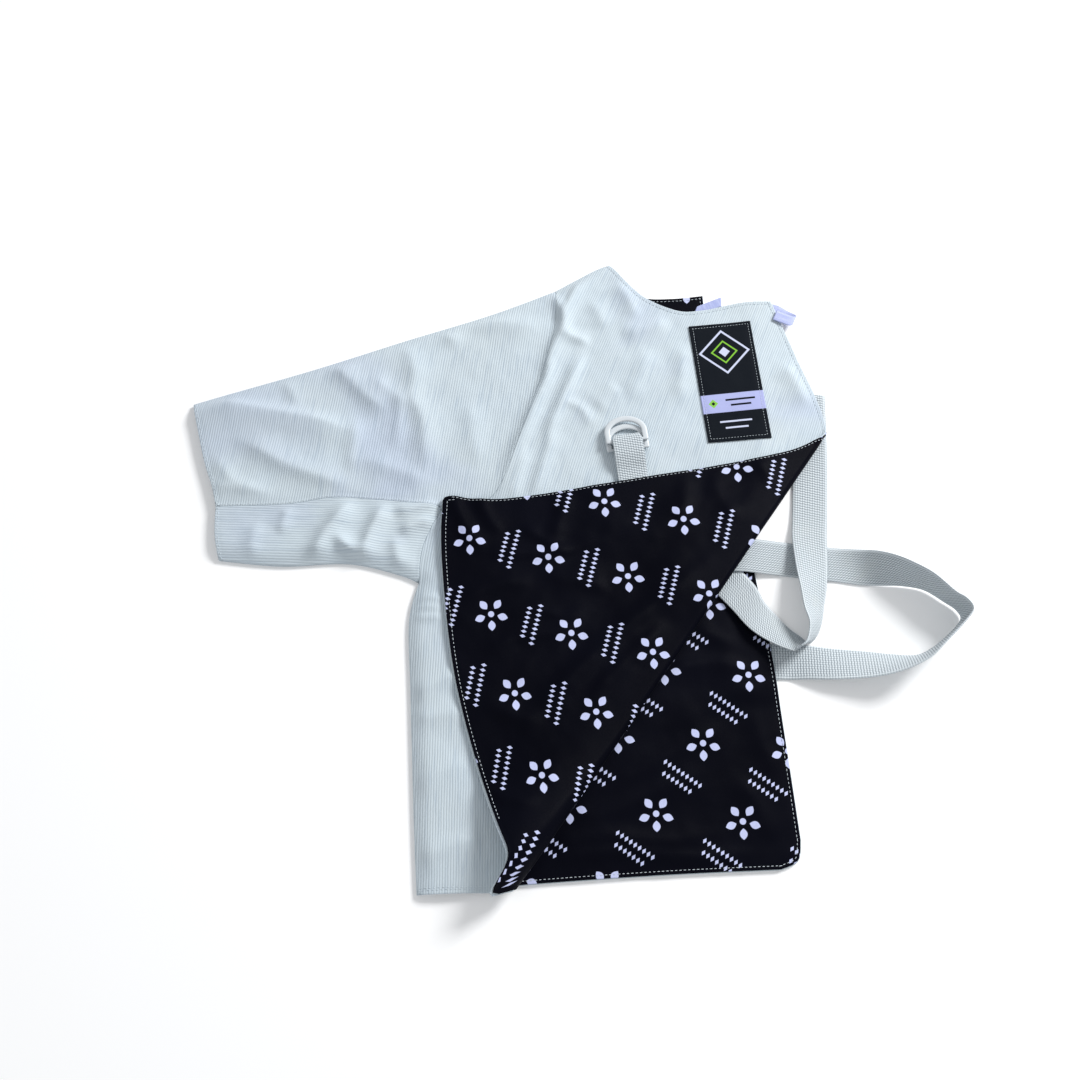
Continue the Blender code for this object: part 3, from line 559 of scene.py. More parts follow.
class Look:
    def __init__(self, name, **constants):
        self.material = bpy.data.materials.new(name)
        self.material.use_nodes = True
        self.tree = self.material.node_tree
        self.tree.nodes.clear()
        self.shader = self.tree.nodes.new("ShaderNodeBsdfPrincipled")
        output = self.tree.nodes.new("ShaderNodeOutputMaterial")
        self.tree.links.new(self.shader.outputs[0], output.inputs[0])
        for key, value in constants.items():
            self.shader.inputs[key].default_value = value

    def node(self, kind, settings, inputs, output=0):
        made = self.tree.nodes.new(kind)
        for key, value in settings.items():
            setattr(made, key, value)
        for key, value in inputs.items():
            if isinstance(value, Wire):
                self.tree.links.new(value.socket, made.inputs[key])
            else:
                made.inputs[key].default_value = value
        return Wire(self, made.outputs[output])

    def feed(self, key, wire):
        self.tree.links.new(wire.socket, self.shader.inputs[key])

    def cutPlace(self):  # the place in the flat cut, in metres
        place = self.node("ShaderNodeUVMap", {"uv_map": "cut"}, {})
        parts = self.node("ShaderNodeSeparateXYZ", {}, {0: place})
        return place, parts, Wire(self, parts.socket.node.outputs[1])

    def noise(self, place, scale, detail=3.0, distortion=0.0):
        return self.node("ShaderNodeTexNoise", {}, {
            "Vector": place, "Scale": scale, "Detail": detail, "Distortion": distortion})

    def mix(self, share, first, second):
        return self.node("ShaderNodeMix", {"data_type": "RGBA"}, {0: share, 6: first, 7: second}, 2)

    def bump(self, height, strength, distance):
        self.feed("Normal", self.node("ShaderNodeBump", {}, {
            "Strength": strength, "Distance": distance, "Height": height}))


def ribbedCotton():
    rib = {
        "pitch": 0.0021, "thread": 0.0009, "wander": 0.0008, "slub": 0.035,
        "white": (0.555, 0.645, 0.72, 1), "creamLitTint": (0.635, 0.70, 0.715, 1), "lilacShadeTint": (0.505, 0.575, 0.715, 1),
        "valleyShadeAndSlub": (0.33, 0.41, 0.50, 1), "worn": (0.48, 0.55, 0.60, 1),
    }
    look = Look("ribbedCotton", **{"Roughness": 0.86, "Sheen Weight": 0.12, "Sheen Roughness": 0.5,
                                   "Specular IOR Level": 0.2})
    place, across, along = look.cutPlace()
    drift = look.noise(place, 55.0, 2.0)
    lane = across * (1 / rib["pitch"]) + (drift - 0.5) * (rib["wander"] / rib["pitch"])
    ridge = (lane * math.pi).sine().size() ** 0.7
    step = lane.whole().math("MODULO", lane.whole(), 2.0)
    thread = ((along * (2 * math.pi / rib["thread"]) + step * math.pi).sine() * 0.5 + 0.5)
    patch = look.noise(place, 14.0, 4.0)
    cloud = look.noise(place, 6.0, 3.0, 0.4)
    fuzz = look.noise(place, 900.0, 2.0)
    slub = look.noise(look.node("ShaderNodeVectorMath", {"operation": "MULTIPLY"}, {
        0: place, 1: (1 / rib["pitch"], 1 / rib["slub"], 1.0)}), 1.0, 1.0)
    # cream and lilac patches, scattered at random, are a painted lit tint and a painted shade tint of the
    # white
    white = look.mix(patch, rib["white"], rib["creamLitTint"])
    white = look.mix(cloud.ramp(0.50, 0.68) * 0.65, white, rib["lilacShadeTint"])
    # rib valleys are darkened as painted shade between the ribs; slubs darken to the same colour as their own
    # yarn tone
    white = look.mix((1 - ridge) * (0.20 + 0.32 * patch) + slub.ramp(0.5, 0.75) * 0.3, white, rib["valleyShadeAndSlub"])
    edge = look.node("ShaderNodeAttribute", {"attribute_name": "edge"}, {}, 2)
    white = look.mix(edge * (0.15 + 0.35 * fuzz), white, rib["worn"])
    look.feed("Base Color", white)
    look.feed("Roughness", 0.78 + 0.16 * fuzz)
    look.bump(ridge * 0.8 + thread * ridge * 0.3 + fuzz * 0.25, 0.6, 0.0005)
    return look.material


def darkSatin():  # near black, with a half-drop repeat of a rosette and two rows of small lozenges
    pattern = {
        "repeat": (0.059, 0.068), "petal": 0.0088, "petalWidth": 0.0030, "petalOut": 0.0098,
        "dot": 0.0025, "lozenge": (0.0014, 0.0025), "spacing": 0.0041, "rowGap": 0.0084,
        "black": (0.0006, 0.0007, 0.0022, 1), "faded": (0.0032, 0.0036, 0.0085, 1),
        "lavender": (0.52, 0.56, 0.83, 1), "pale": (0.60, 0.64, 0.88, 1),
    }
    look = Look("darkSatin", **{"Roughness": 0.42, "Sheen Weight": 0.008, "Sheen Roughness": 0.4,
                                "Specular IOR Level": 0.03})
    place, across, along = look.cutPlace()
    wide, tall = pattern["repeat"]
    u, v = across / wide, along / tall
    column = u.whole()
    shift = column.math("MODULO", column, 2.0) * 0.5
    x = (u.part() - 0.5) * wide
    y = ((v + shift).part() - 0.5) * tall
    ink = (x * x + y * y).below(pattern["dot"] ** 2, 1e-6)
    for turn in range(5):  # petals round a dot
        angle = math.radians(90 + 72 * turn)
        px = x * math.cos(angle) + y * math.sin(angle) - pattern["petalOut"]
        py = y * math.cos(angle) - x * math.sin(angle)
        bulge = (px / pattern["petal"] * 2) ** 2.0 + (py / pattern["petalWidth"]).size()
        ink = ink.most(bulge.below(1.0, 0.07))
    half, reach = pattern["lozenge"]
    for row, count in ((-1, 9), (1, 7)):  # rows of lozenges between the rosettes
        lift = ((y + tall).math("MODULO", y + tall, tall) - tall / 2 + row * pattern["rowGap"] / 2).size()
        cell = ((x / pattern["spacing"] + 0.5).part() - 0.5).size() * pattern["spacing"]
        ends = x.size().below(pattern["spacing"] * count / 2)
        ink = ink.most(((cell / half) + (lift / reach)).below(1.0, 0.08) * ends)
    weave = look.noise(place, 700.0, 2.0)
    patch = look.noise(place, 9.0, 4.0)
    ground = look.mix(patch, pattern["black"], pattern["faded"])
    look.feed("Base Color", look.mix(ink * (0.84 + 0.3 * weave), ground,
                                     look.mix(patch, pattern["lavender"], pattern["pale"])))
    look.feed("Roughness", 0.36 + 0.10 * weave + 0.12 * patch + ink * 0.12)
    twill = ((across + along) * (2 * math.pi / 0.00055)).sine()
    look.bump(twill * 0.35 + weave * 0.5 + ink * 0.15, 0.3, 0.0002)
    return look.material


def wovenLabel():  # black ground, a rhombus outline, a lavender band and a few plain bars
    design = {
        "middle": 0.0277, "rhombus": (0.0285, 0.0205, 0.0024), "core": 0.0062, "band": (0.0690, 0.0865),
        "gem": (0.0105, 0.0777, 0.0042), "bars": ((0.0345, 0.0752, 0.013), (0.0345, 0.0802, 0.009)),
        "lowBars": ((0.0277, 0.0955, 0.014), (0.0277, 0.1015, 0.010)), "barHalf": 0.0009,
        "lowBarHalf": 0.0008, "crisp": 0.0002, "soft": 0.00025, "weft": 0.00062, "warp": 0.00085,
        "black": (0.002, 0.004, 0.008, 1), "grey": (0.012, 0.018, 0.026, 1),
        "lavender": (0.42, 0.45, 0.74, 1), "green": (0.24, 0.56, 0.05, 1), "pale": (0.62, 0.66, 0.84, 1),
    }
    look = Look("wovenLabel", **{"Roughness": 0.6, "Sheen Weight": 0.015, "Specular IOR Level": 0.08})
    place, across, down = look.cutPlace()
    crisp, soft, middle = design["crisp"], design["soft"], design["middle"]

    def diamond(x, y, flatter=1.0):  # a distance from a place that grows in diamonds
        return (across - x).size() * flatter + (down - y).size()

    def bar(x, y, halfLength, halfHeight):
        return (across - x).size().below(halfLength, crisp) * (down - y).size().below(halfHeight, crisp)

    centreY, reach, line = design["rhombus"]
    apart = diamond(middle, centreY, 0.95)
    outline = (apart - reach).size().below(line / 2, soft)
    innerLine = (apart - design["core"] * 1.7).size().below(0.0009, soft)
    pale = outline.most(diamond(middle, centreY).below(design["core"] * 0.8, crisp))
    for x, y, halfLength in design["lowBars"]:
        pale = pale.most(bar(x, y, halfLength, design["lowBarHalf"]))
    low, high = design["band"]
    band = down.below(high, crisp) - down.below(low, crisp)
    gemX, gemY, gemReach = design["gem"]
    gem = diamond(gemX, gemY).below(gemReach, crisp)
    dark = diamond(gemX, gemY).below(gemReach * 0.42, crisp)
    for x, y, halfLength in design["bars"]:
        dark = dark.most(bar(x, y, halfLength, design["barHalf"]))
    fuzz = look.noise(place, 1100.0, 2.0)
    weft = (down * (2 * math.pi / design["weft"])).sine() * 0.5 + 0.5
    warp = (across * (2 * math.pi / design["warp"])).sine() * 0.5 + 0.5
    colour = look.mix(weft * 0.35 * fuzz, design["black"], design["grey"])
    colour = look.mix(band, colour, design["lavender"])
    colour = look.mix(pale * (0.75 + 0.4 * fuzz), colour, design["pale"])
    for green in (innerLine, gem):
        colour = look.mix(green * (0.8 + 0.3 * fuzz), colour, design["green"])
    colour = look.mix(dark, colour, design["black"])
    look.feed("Base Color", colour)
    look.feed("Roughness", 0.5 + 0.2 * fuzz)
    look.bump(weft * 0.5 + warp * 0.4 + fuzz * 0.4 + band * 0.4 + pale * 0.5, 0.5, 0.0003)
    return look.material


def satinRibbon():
    ribbon = {
        "cord": 0.00062, "lavender": (0.36, 0.41, 0.70, 1), "light": (0.50, 0.55, 0.80, 1),
        "shade": (0.30, 0.34, 0.62, 1),
    }
    look = Look("lavenderRibbon", **{"Roughness": 0.34, "Sheen Weight": 0.1, "Specular IOR Level": 0.5})
    place, across, along = look.cutPlace()
    cord = (along * (2 * math.pi / ribbon["cord"])).sine() * 0.5 + 0.5
    streak = look.noise(look.node("ShaderNodeVectorMath", {"operation": "MULTIPLY"}, {
        0: place, 1: (1600.0, 60.0, 1.0)}), 1.0, 2.0)
    fuzz = look.noise(place, 1500.0, 2.0)
    colour = look.mix(streak.ramp(0.35, 0.7), ribbon["lavender"], ribbon["light"])
    colour = look.mix((1 - cord) * 0.35, colour, ribbon["shade"])
    look.feed("Base Color", colour)
    look.feed("Roughness", 0.28 + 0.12 * fuzz + 0.1 * streak)
    look.bump(cord * 0.7 + streak * 0.5, 0.45, 0.00025)
    return look.material


def whiteWebbing():
    web = {
        "width": 0.029, "rib": 0.0023, "yarn": 0.0021, "selvedge": 0.0016,
        "white": (0.64, 0.70, 0.74, 1), "clean": (0.71, 0.76, 0.78, 1), "shade": (0.26, 0.31, 0.35, 1),
        "soiled": (0.56, 0.60, 0.60, 1),
    }
    look = Look("whiteWebbing", **{"Roughness": 0.72, "Sheen Weight": 0.1, "Specular IOR Level": 0.3})
    place, across, along = look.cutPlace()
    lane = (across / web["yarn"]).whole()
    stagger = lane.math("MODULO", lane, 2.0) * 0.12
    ribPlace = along / web["rib"] + stagger
    rib = (ribPlace * math.pi).sine().size() ** 0.6
    yarn = (across * (math.pi / web["yarn"])).sine().size() ** 0.5
    edge = across.least(web["width"] - across).below(web["selvedge"], 0.0003)
    fuzz = look.noise(place, 1300.0, 2.0)
    patch = look.noise(place, 26.0, 3.0)
    colour = look.mix(patch, web["white"], web["clean"])
    colour = look.mix((1 - rib) * (1 - edge * 0.6) + (1 - yarn) * 0.75, colour, web["shade"])
    colour = look.mix(patch.ramp(0.55, 0.8) * (0.2 + 0.3 * fuzz), colour, web["soiled"])
    look.feed("Base Color", colour)
    look.feed("Roughness", 0.64 + 0.2 * fuzz)
    look.bump(rib * (1 - edge * 0.5) + yarn * 0.6 + fuzz * 0.15, 0.9, 0.0005)
    return look.material


def mouldedPlastic():
    look = Look("whitePlastic", **{"Roughness": 0.32, "Specular IOR Level": 0.5, "Coat Weight": 0.15})
    place = look.node("ShaderNodeTexCoord", {}, {}, 3)
    grain = look.noise(place, 800.0, 3.0)
    cloud = look.noise(place, 60.0, 2.0)
    look.feed("Base Color", look.mix(cloud, (0.56, 0.60, 0.64, 1), (0.63, 0.67, 0.69, 1)))
    look.feed("Roughness", 0.26 + 0.14 * cloud + 0.08 * grain)
    look.bump(grain * 0.4 + cloud * 0.6, 0.25, 0.0002)
    return look.material


def sewingThread():
    look = Look("whiteThread", **{"Roughness": 0.7, "Sheen Weight": 0.15, "Specular IOR Level": 0.3})
    place = look.node("ShaderNodeTexCoord", {}, {}, 3)
    twist = look.noise(place, 2400.0, 2.0)
    look.feed("Base Color", look.mix(twist, (0.55, 0.62, 0.68, 1), (0.74, 0.80, 0.84, 1)))
    look.bump(twist, 0.5, 0.0002)
    return look.material


cotton = ribbedCotton()
satin = darkSatin()
woven = wovenLabel()
ribbonLook = satinRibbon()
webbing = whiteWebbing()
plastic = mouldedPlastic()
threadLook = sewingThread()
print("materials made")


# maps from a panel's flat cut to its ribs: the ribs run along v

def turned(degrees, scale=1.0):
    c, s = scale * math.cos(math.radians(degrees)), scale * math.sin(math.radians(degrees))
    return lambda flat: np.column_stack([flat[:, 0] * c + flat[:, 1] * s, flat[:, 1] * c - flat[:, 0] * s])


def bodyRibs(flat):  # pulled down to the left above the chest, straight below it
    above, over, slope = 20, 45, 0.41
    pull = slope * over * np.log1p(np.exp((flat[:, 1] - above) / over))
    return np.column_stack([flat[:, 0] - pull, flat[:, 1]])


upperLift = layers["gap"] / 2 + layers["cloth"] / 2
liningLift = -layers["gap"] / 2 - layers["lining"] / 2
cottonCloth = (layers["cloth"], cotton, "ribbed_cotton")
satinCloth = (layers["lining"], satin, "dark_satin")
bodySize = {"spacing": 3.6, "frontSpacing": 2.8, "sleeveSpacing": 2.8, "backSpacing": 7.0, "hem": 3.2}



def wayRound(*names):  # sides of the body in their order round it, each with no inset
    return [(lines[name] if name == "shoulder" else lines[name][::-1], 0) for name in names]


closedSides = wayRound("shoulder", "armholeUpper", "armholeUnder", "side")
backSides = wayRound("backNeck") + closedSides + wayRound("backHem") + [
    (curve(cut["backCorner"], 3)[::-1], 0)] + wayRound("backEdge")
frontSides = wayRound("frontNeck") + closedSides + wayRound("frontHem", "centre")
backCells = flatCells(backSides, bodySize["backSpacing"])
backLift = layers["cloth"] / 2
clothPiece("backPanel", "back", cottonCloth, backCells, backForm, backLift, turned(4),
           bodySize["hem"])

liningInset = {"open": 0.5, "hem": 2.2, "closed": 9.0}
backInsets = ("open", "closed", "hem", "hem", "closed", "open", "open", "open")
backLiningSides = [(line, liningInset[kind]) for (line, _), kind in zip(backSides, backInsets)]
backLiningCells = flatCells(backLiningSides, bodySize["spacing"])
backLiningLift = layers["cloth"] + layers["gap"] + layers["lining"] / 2
clothPiece("backLining", "back_lining", satinCloth, backLiningCells, backLiningForm, backLiningLift,
           turned(-35), bodySize["hem"])
print("back made")

frontCells = flatCells(frontSides, bodySize["frontSpacing"], folded=True)
clothPiece("frontPanel", "front", cottonCloth, frontCells, frontForm, upperLift, bodyRibs,
           bodySize["hem"])

frontInsets = ("open", "closed", "hem", "hem", "closed", "hem", "open")
frontLiningSides = [(line, liningInset[kind]) for (line, _), kind in zip(frontSides, frontInsets)]
hemLine = lines["frontHem"][::-1]  # the white edge shows beside the lining, wider towards the fold
frontLiningSides[5] = (hemLine, np.interp(hemLine[:-1, 0], (20, 200, 310), (2.2, 1.3, 0.5)))
frontLiningCells = flatCells(frontLiningSides, bodySize["spacing"], folded=True)
clothPiece("frontLining", "front_lining", satinCloth, frontLiningCells, frontForm, liningLift, turned(35),
           bodySize["hem"])
print("front made")


def moved(line, distance):  # the line moved to its left
    way = np.gradient(line, axis=0)
    way /= np.hypot(*way.T)[:, None]
    return line + np.column_stack([-way[:, 1], way[:, 0]]) * distance


seamGap = 0.02
armhole = moved(lines["armholeUpper"], seamGap)
underArmhole = moved(lines["armholeUnder"], seamGap)
sleeveSeam = lines["sleeveSeam"]
sleeveTop = np.vstack([armhole[-1:], lines["sleeveTop"][1:]])
sleeveFrontCells = flatCells([
    (sleeveTop, 0), (lines["cuffUpper"], 0), (moved(sleeveSeam, seamGap / 2), 0), (armhole, 0),
], bodySize["sleeveSpacing"])
clothPiece("sleeveFront", "sleeve_front", cottonCloth, sleeveFrontCells, sleeveForm, upperLift, turned(-8),
           bodySize["hem"])

underarmCells = flatCells([
    (np.vstack([underArmhole[-1:] - (0, seamGap / 2), moved(sleeveSeam, -seamGap / 2)[-2::-1]]), 0),
    (lines["cuffUnder"], 0), (lines["underarm"], 0), (underArmhole, 0),
], bodySize["sleeveSpacing"])
clothPiece("sleeveUnderarm", "sleeve_underarm", cottonCloth, underarmCells, sleeveForm, upperLift,
           turned(88, 0.95), bodySize["hem"])

sleeveBackCells = flatCells([
    (sleeveTop, 0), (lines["cuffUpper"], 0), (lines["cuffUnder"], 0), (lines["underarm"], 0),
    (underArmhole, 0), (armhole, 0),
], bodySize["backSpacing"])
clothPiece("sleeveBack", "sleeve_back", cottonCloth, sleeveBackCells, backForm, backLift, turned(-8),
           bodySize["hem"])
print("sleeve made")


# straight-sided small pieces

def cornerSides(corners, spacing=2.0):
    corners = np.array(corners, float)
    return [(evenLine([a, b], spacing), 0) for a, b in zip(corners, np.roll(corners, -1, axis=0))]


def cornerMap(corner, edgeEnd):  # millimetres across and down from a corner
    corner, edgeEnd = np.array(corner, float), np.array(edgeEnd, float)
    across = (edgeEnd - corner) / np.hypot(*(edgeEnd - corner))
    down = np.array((across[1], -across[0]))
    return lambda flat: np.column_stack([(flat - corner) @ across, (flat - corner) @ down])


labelSize = {"corners": [(132, 199), (145, 86), (200, 91), (187, 205)], "thickness": 1.0, "seam": 2.6}
labelCells = flatCells(cornerSides(labelSize["corners"]), 3.0, rim=(0.3, 0.7, 1.6, 2.6, 3.6))
labelLift = layers["gap"] * 1.5 + layers["cloth"] + labelSize["thickness"] / 2
labelMap = cornerMap(labelSize["corners"][0], labelSize["corners"][3])
clothPiece("sewnLabel", "label", (labelSize["thickness"], woven, "woven_label"), labelCells, frontForm,
           labelLift, labelMap, labelSize["seam"])

ribbonSize = {"corners": [(163, 222), (163, 231.5), (141, 222), (137, 212)], "thickness": 0.9}
ribbonCells = flatCells(cornerSides(ribbonSize["corners"], 1.5), 2.0, rim=(0.25, 0.6, 1.2))
ribbonLift = layers["cloth"] + layers["lining"] + 2 * layers["gap"] + 0.5
ribbonMap = cornerMap(ribbonSize["corners"][3], ribbonSize["corners"][0])
clothPiece("neckRibbon", "neck_ribbon", (ribbonSize["thickness"], ribbonLook, "lavender_ribbon"), ribbonCells,
           backForm, ribbonLift, ribbonMap)
print("label and ribbon made")


# bands: a flat band swept along pairs of edge points

def sweptFaces(rows, size, closed):  # faces between the rings of points of a sweep
    faces = []
    for i in range(rows if closed else rows - 1):
        a, b = i * size, (i + 1) % rows * size
        faces += [(a + k, a + (k + 1) % size, b + (k + 1) % size, b + k) for k in range(size)]
    return faces


def bandMesh(name, near, far, normals, thickness, width, across=14, shear=0.0):
    count = len(near)
    shares = np.concatenate([[0, 0.012, 0.04], np.linspace(0.1, 0.9, across - 6), [0.96, 0.988, 1]])
    depth = np.minimum(shares, 1 - shares) * width
    half = edgeProfile(depth, thickness)
    ring = [(s, h) for s, h in zip(shares, half)] + [(s, -h) for s, h in zip(shares[-2:0:-1], half[-2:0:-1])]
    points, uvs = [], []
    nearWalk, farWalk = walked(near), walked(far)
    for i in range(count):
        for s, h in ring:
            points.append(near[i] + (far[i] - near[i]) * s + normals[i] * h)
            uvs.append((s * width * mm, (nearWalk[i] * (1 - s) + farWalk[i] * s + shear * s * width) * mm))
    size = len(ring)
    faces = sweptFaces(count, size, False)
    faces.append(tuple(range(size))[::-1])
    faces.append(tuple((count - 1) * size + k for k in range(size)))
    made = addMesh(name, points, faces, uvs)
    faceOut(made)
    return made, (nearWalk[-1] + farWalk[-1]) / 2


def faceOut(obj):
    bm = bmesh.new()
    bm.from_mesh(obj.data)
    bmesh.ops.recalc_face_normals(bm, faces=bm.faces[:])
    if bm.calc_volume(signed=True) < 0:
        bmesh.ops.reverse_faces(bm, faces=bm.faces[:])
    bm.to_mesh(obj.data)
    bm.free()


strapSize = {
    "width": 30.0, "thickness": 1.5, "leastZ": 0.85,
    "middle": (139, -14.5), "turnDeg": 61.5, "turnHalf": 16.4,
}
strapFirst = [  # x, y and z of one edge, then the way across in degrees and its tilt
    (160, -90, 0.8, -91, 0), (190, -91, 0.8, -92, 0), (204, -91.5, 0.8, -92, 0), (220, -92.5, 0.8, -92, 8),
    (240, -95, 0.8, -93, 18), (267, -97.5, 0.8, -92, 31), (288, -100, 0.8, -90, 48),
    (308, -101, 0.8, -82, 70), (321, -95.5, 0.8, -60, 82), (333, -86.5, 0.8, -48, 86),
    (343, -77, 0.8, -30, 87), (348, -69, 0.8, 0, 86), (344, -61.5, 0.8, 35, 87),
    (336, -55.5, 0.8, 52, 88), (320, -45, 0.8, 62, 80), (303, -41.5, 0.8, 78, 64),
    (286, -41, 0.8, 86, 40), (268, -40.5, 0.8, 87, 14), (250, -38, 0.8, 86, 1), (232, -36, 0.8, 85, 0),
    (210, -33.5, 0.9, 85, 0), (195, -32, 2.2, 85, 0), (182, -31, 4.2, 85, 0), (170, -30, 5.5, 85, 0),
    (158, -29.8, 5.5, 85, 0),
]
strapSecond = [
    (166, -26, 3.6, 220, 0), (179, -41.5, 3.6, 228, 4), (186, -56, 3.4, 241, 14), (195, -67, 2.6, 257, 22),
    (205, -78, 1.6, 267, 36), (214, -85, 1.0, 247, 51), (221, -90, 0.8, 222, 65), (228, -84, 0.8, 213, 60),
    (233, -72, 0.8, 204, 56), (236, -57, 1.4, 200, 42), (239, -41, 3.0, 192, 30), (241, -18, 3.2, 186, 14),
    (242, 2, 3.0, 180, 4), (244, 20, 1.6, 178, 1), (247, 60, 0.8, 177, 0), (249, 100, 0.8, 177, 0),
    (250, 134.5, 0.8, 177, 0),
]


def strapEdges(rows):
    fine = smoothRows(rows, 7)
    side, tilt = np.radians(fine[:, 3]), np.radians(np.maximum(fine[:, 4], 0))
    out = np.column_stack([np.cos(side) * np.cos(tilt), np.sin(side) * np.cos(tilt), np.sin(tilt)])
    near = fine[:, :3].copy()
    near[:, 2] = np.maximum(near[:, 2], strapSize["leastZ"])
    return near, near + out * strapSize["width"]


def bandNormals(near, far):
    middle = (near + far) / 2
    normal = np.cross(far - near, np.gradient(middle, axis=0))
    return normal / np.linalg.norm(normal, axis=1)[:, None]


turnAngle = math.radians(strapSize["turnDeg"])
turnAlong = np.array((math.cos(turnAngle), math.sin(turnAngle), 0)) * strapSize["turnHalf"]
turnOut = np.array((-math.sin(turnAngle), math.cos(turnAngle), 0))
turnMiddle = np.array((*strapSize["middle"], 0.0))
firstNear, firstFar = strapEdges(strapFirst)
secondNear, secondFar = strapEdges(strapSecond)
topZ, lowZ = strapFirst[-1][2], strapSecond[0][2]
turnCentre = turnMiddle + (0, 0, (topZ + lowZ) / 2)
turnNear, turnFar, turnNormal = [], [], []
for turn in np.linspace(0, math.pi, 9):
    way = turnOut * math.sin(turn) + np.array((0, 0, math.cos(turn)))
    turnNear.append(turnCentre - turnAlong + way * (topZ - lowZ) / 2)
    turnFar.append(turnCentre + turnAlong + way * (topZ - lowZ) / 2)
    turnNormal.append(way)
strapNear = np.vstack([firstNear, turnNear, secondFar])
strapFar = np.vstack([firstFar, turnFar, secondNear])
firstNormal = bandNormals(firstNear, firstFar)
secondNormal = bandNormals(secondFar, secondNear)
firstNormal *= np.sign(firstNormal[-1, 2])
secondNormal *= -np.sign(secondNormal[0, 2])
strapNormals = np.vstack([firstNormal, turnNormal, secondNormal])
strap, strapLength = bandMesh("sideStrap", strapNear, strapFar, strapNormals, strapSize["thickness"],
                              strapSize["width"], 18)
finishPiece(strap, webbing, ["strap"])
print("strap made, mm long:", round(strapLength))

tabSize = {
    "top": np.array((74.0, 92.0)), "foot": np.array((84.0, 20.0)), "width": 26.0, "thickness": 1.25,
    "squeeze": 3.4, "squeezeLength": 6.0, "ribShear": -0.3,
    "clear": 0.7, "room": 1.3, "barZ": 13.1, "barClear": 0.5,
}
ringSize = {"halfWidth": 18.6, "band": 5.1, "thick": 2.6, "side": 8.4, "arc": 15.2}
tabDown = (tabSize["foot"] - tabSize["top"]) / np.hypot(*(tabSize["foot"] - tabSize["top"]))
tabDown = np.array((*tabDown, 0.0))
tabAcross = np.array((-tabDown[1], tabDown[0], 0.0))
tabRest = layers["bodyUnderside"] + layers["cloth"] + tabSize["clear"] + tabSize["room"] / 2
tabTopZ = tabSize["barZ"] + ringSize["thick"] / 2 + tabSize["barClear"] + tabSize["room"] / 2
tabFlatZ = tabRest + tabSize["room"] + layers["gap"]
tabMiddleZ = (tabRest + tabTopZ) / 2
tabPath = [
    (70, tabRest), (55, tabRest), (40, tabRest), (22, tabRest), (6, tabRest), (2.4, tabRest + 0.8),
    (0.8, tabMiddleZ - 2.0), (0.65, tabMiddleZ), (0.8, tabMiddleZ + 2.0), (2.4, tabTopZ - 0.8), (6, tabTopZ),
    (17, tabTopZ - 0.4), (24, tabTopZ - 2.4), (31, tabFlatZ + 1.0), (40, tabFlatZ), (55, tabFlatZ),
    (70, tabFlatZ),
]
tabFine = smoothRows(tabPath, 6)
tabMiddle = np.array((*tabSize["top"], 0.0)) + tabFine[:, :1] * tabDown + tabFine[:, 1:] * (0, 0, 1)
tabHalf = tabSize["width"] - tabSize["squeeze"] * (1 - smoothstep(tabFine[:, :1] / tabSize["squeezeLength"]))
tabNear = tabMiddle - tabAcross * tabHalf / 2
tabFar = tabMiddle + tabAcross * tabHalf / 2
ringTab, tabLength = bandMesh("ringTab", tabNear, tabFar, bandNormals(tabNear, tabFar), tabSize["thickness"],
                              tabSize["width"], 14, tabSize["ribShear"])
finishPiece(ringTab, webbing, ["ring_tab"])

loopSize = {"width": 10.0, "thickness": 0.9}
loopPath = [
    (203, 221, 2.2), (212, 219, 2.2), (221, 213, 2.2), (227, 208, 4.6), (224, 205, 7.4), (216, 208, 7.8),
    (209.5, 211, 7.8),
]
loopMiddle = smoothRows(loopPath, 5)
loopAcross = np.array((0.42, 0.91, 0.0)) * loopSize["width"] / 2
ribbonLoop, loopLength = bandMesh("ribbonLoop", loopMiddle - loopAcross, loopMiddle + loopAcross,
                                  bandNormals(loopMiddle - loopAcross, loopMiddle + loopAcross),
                                  loopSize["thickness"], loopSize["width"], 12)
finishPiece(ribbonLoop, ribbonLook, ["ribbon_loop"])
print("tab and ribbon loop made")


# the two D-rings: a soft-cornered section swept round a D

def ringOutlines():
    half, outerHalf, outerArc = ringSize["thick"] / 2, ringSize["halfWidth"], ringSize["arc"]
    innerHalf, innerArc = outerHalf - ringSize["band"], outerArc - ringSize["band"]
    corner = np.radians((25, 50, 75))
    outer, inner = [], []
    for t in np.linspace(-1, 1, 14):
        outer.append((t * (outerHalf - half), -half))
        inner.append((t * innerHalf, half))
    for turn in corner:
        outer.append((outerHalf - half + half * math.sin(turn), -half * math.cos(turn)))
        inner.append((innerHalf, half + 0.5 * turn))
    for turn in np.linspace(0, math.pi, 41):
        for line, wide, high in ((outer, outerHalf, outerArc), (inner, innerHalf, innerArc)):
            line.append((wide * math.cos(turn), ringSize["side"] + high * math.sin(turn)))
    for turn in corner[::-1]:
        outer.append((-(outerHalf - half + half * math.sin(turn)), -half * math.cos(turn)))
        inner.append((-innerHalf, half + 0.5 * turn))
    return np.array(outer), np.array(inner)


def makeRing(name, downTab, barZ, tiltDeg, node, body):
    lean = math.radians(tiltDeg)
    forward = -tabDown * math.cos(lean) - np.array((0, 0, math.sin(lean)))
    normal = np.cross(tabAcross, forward)
    normal *= np.sign(normal[2]) / np.linalg.norm(normal)
    pivot = np.array((*tabSize["top"], barZ)) + tabDown * downTab
    outer, inner = ringOutlines()
    angles = np.linspace(0, 2 * math.pi, 20, endpoint=False)
    wide, high = [np.sign(wave) * np.abs(wave) ** 0.7 for wave in (np.cos(angles), np.sin(angles))]
    share, height = 0.5 - 0.5 * wide, high * ringSize["thick"] / 2
    points = []
    for o, i in zip(outer, inner):
        for s, h in zip(share, height):
            x, y = o + (i - o) * s
            points.append(pivot + tabAcross * x + forward * y + normal * h)
    ring = addMesh(name, points, sweptFaces(len(outer), len(angles), True))
    faceOut(ring)
    finishPiece(ring, plastic, [node], body)


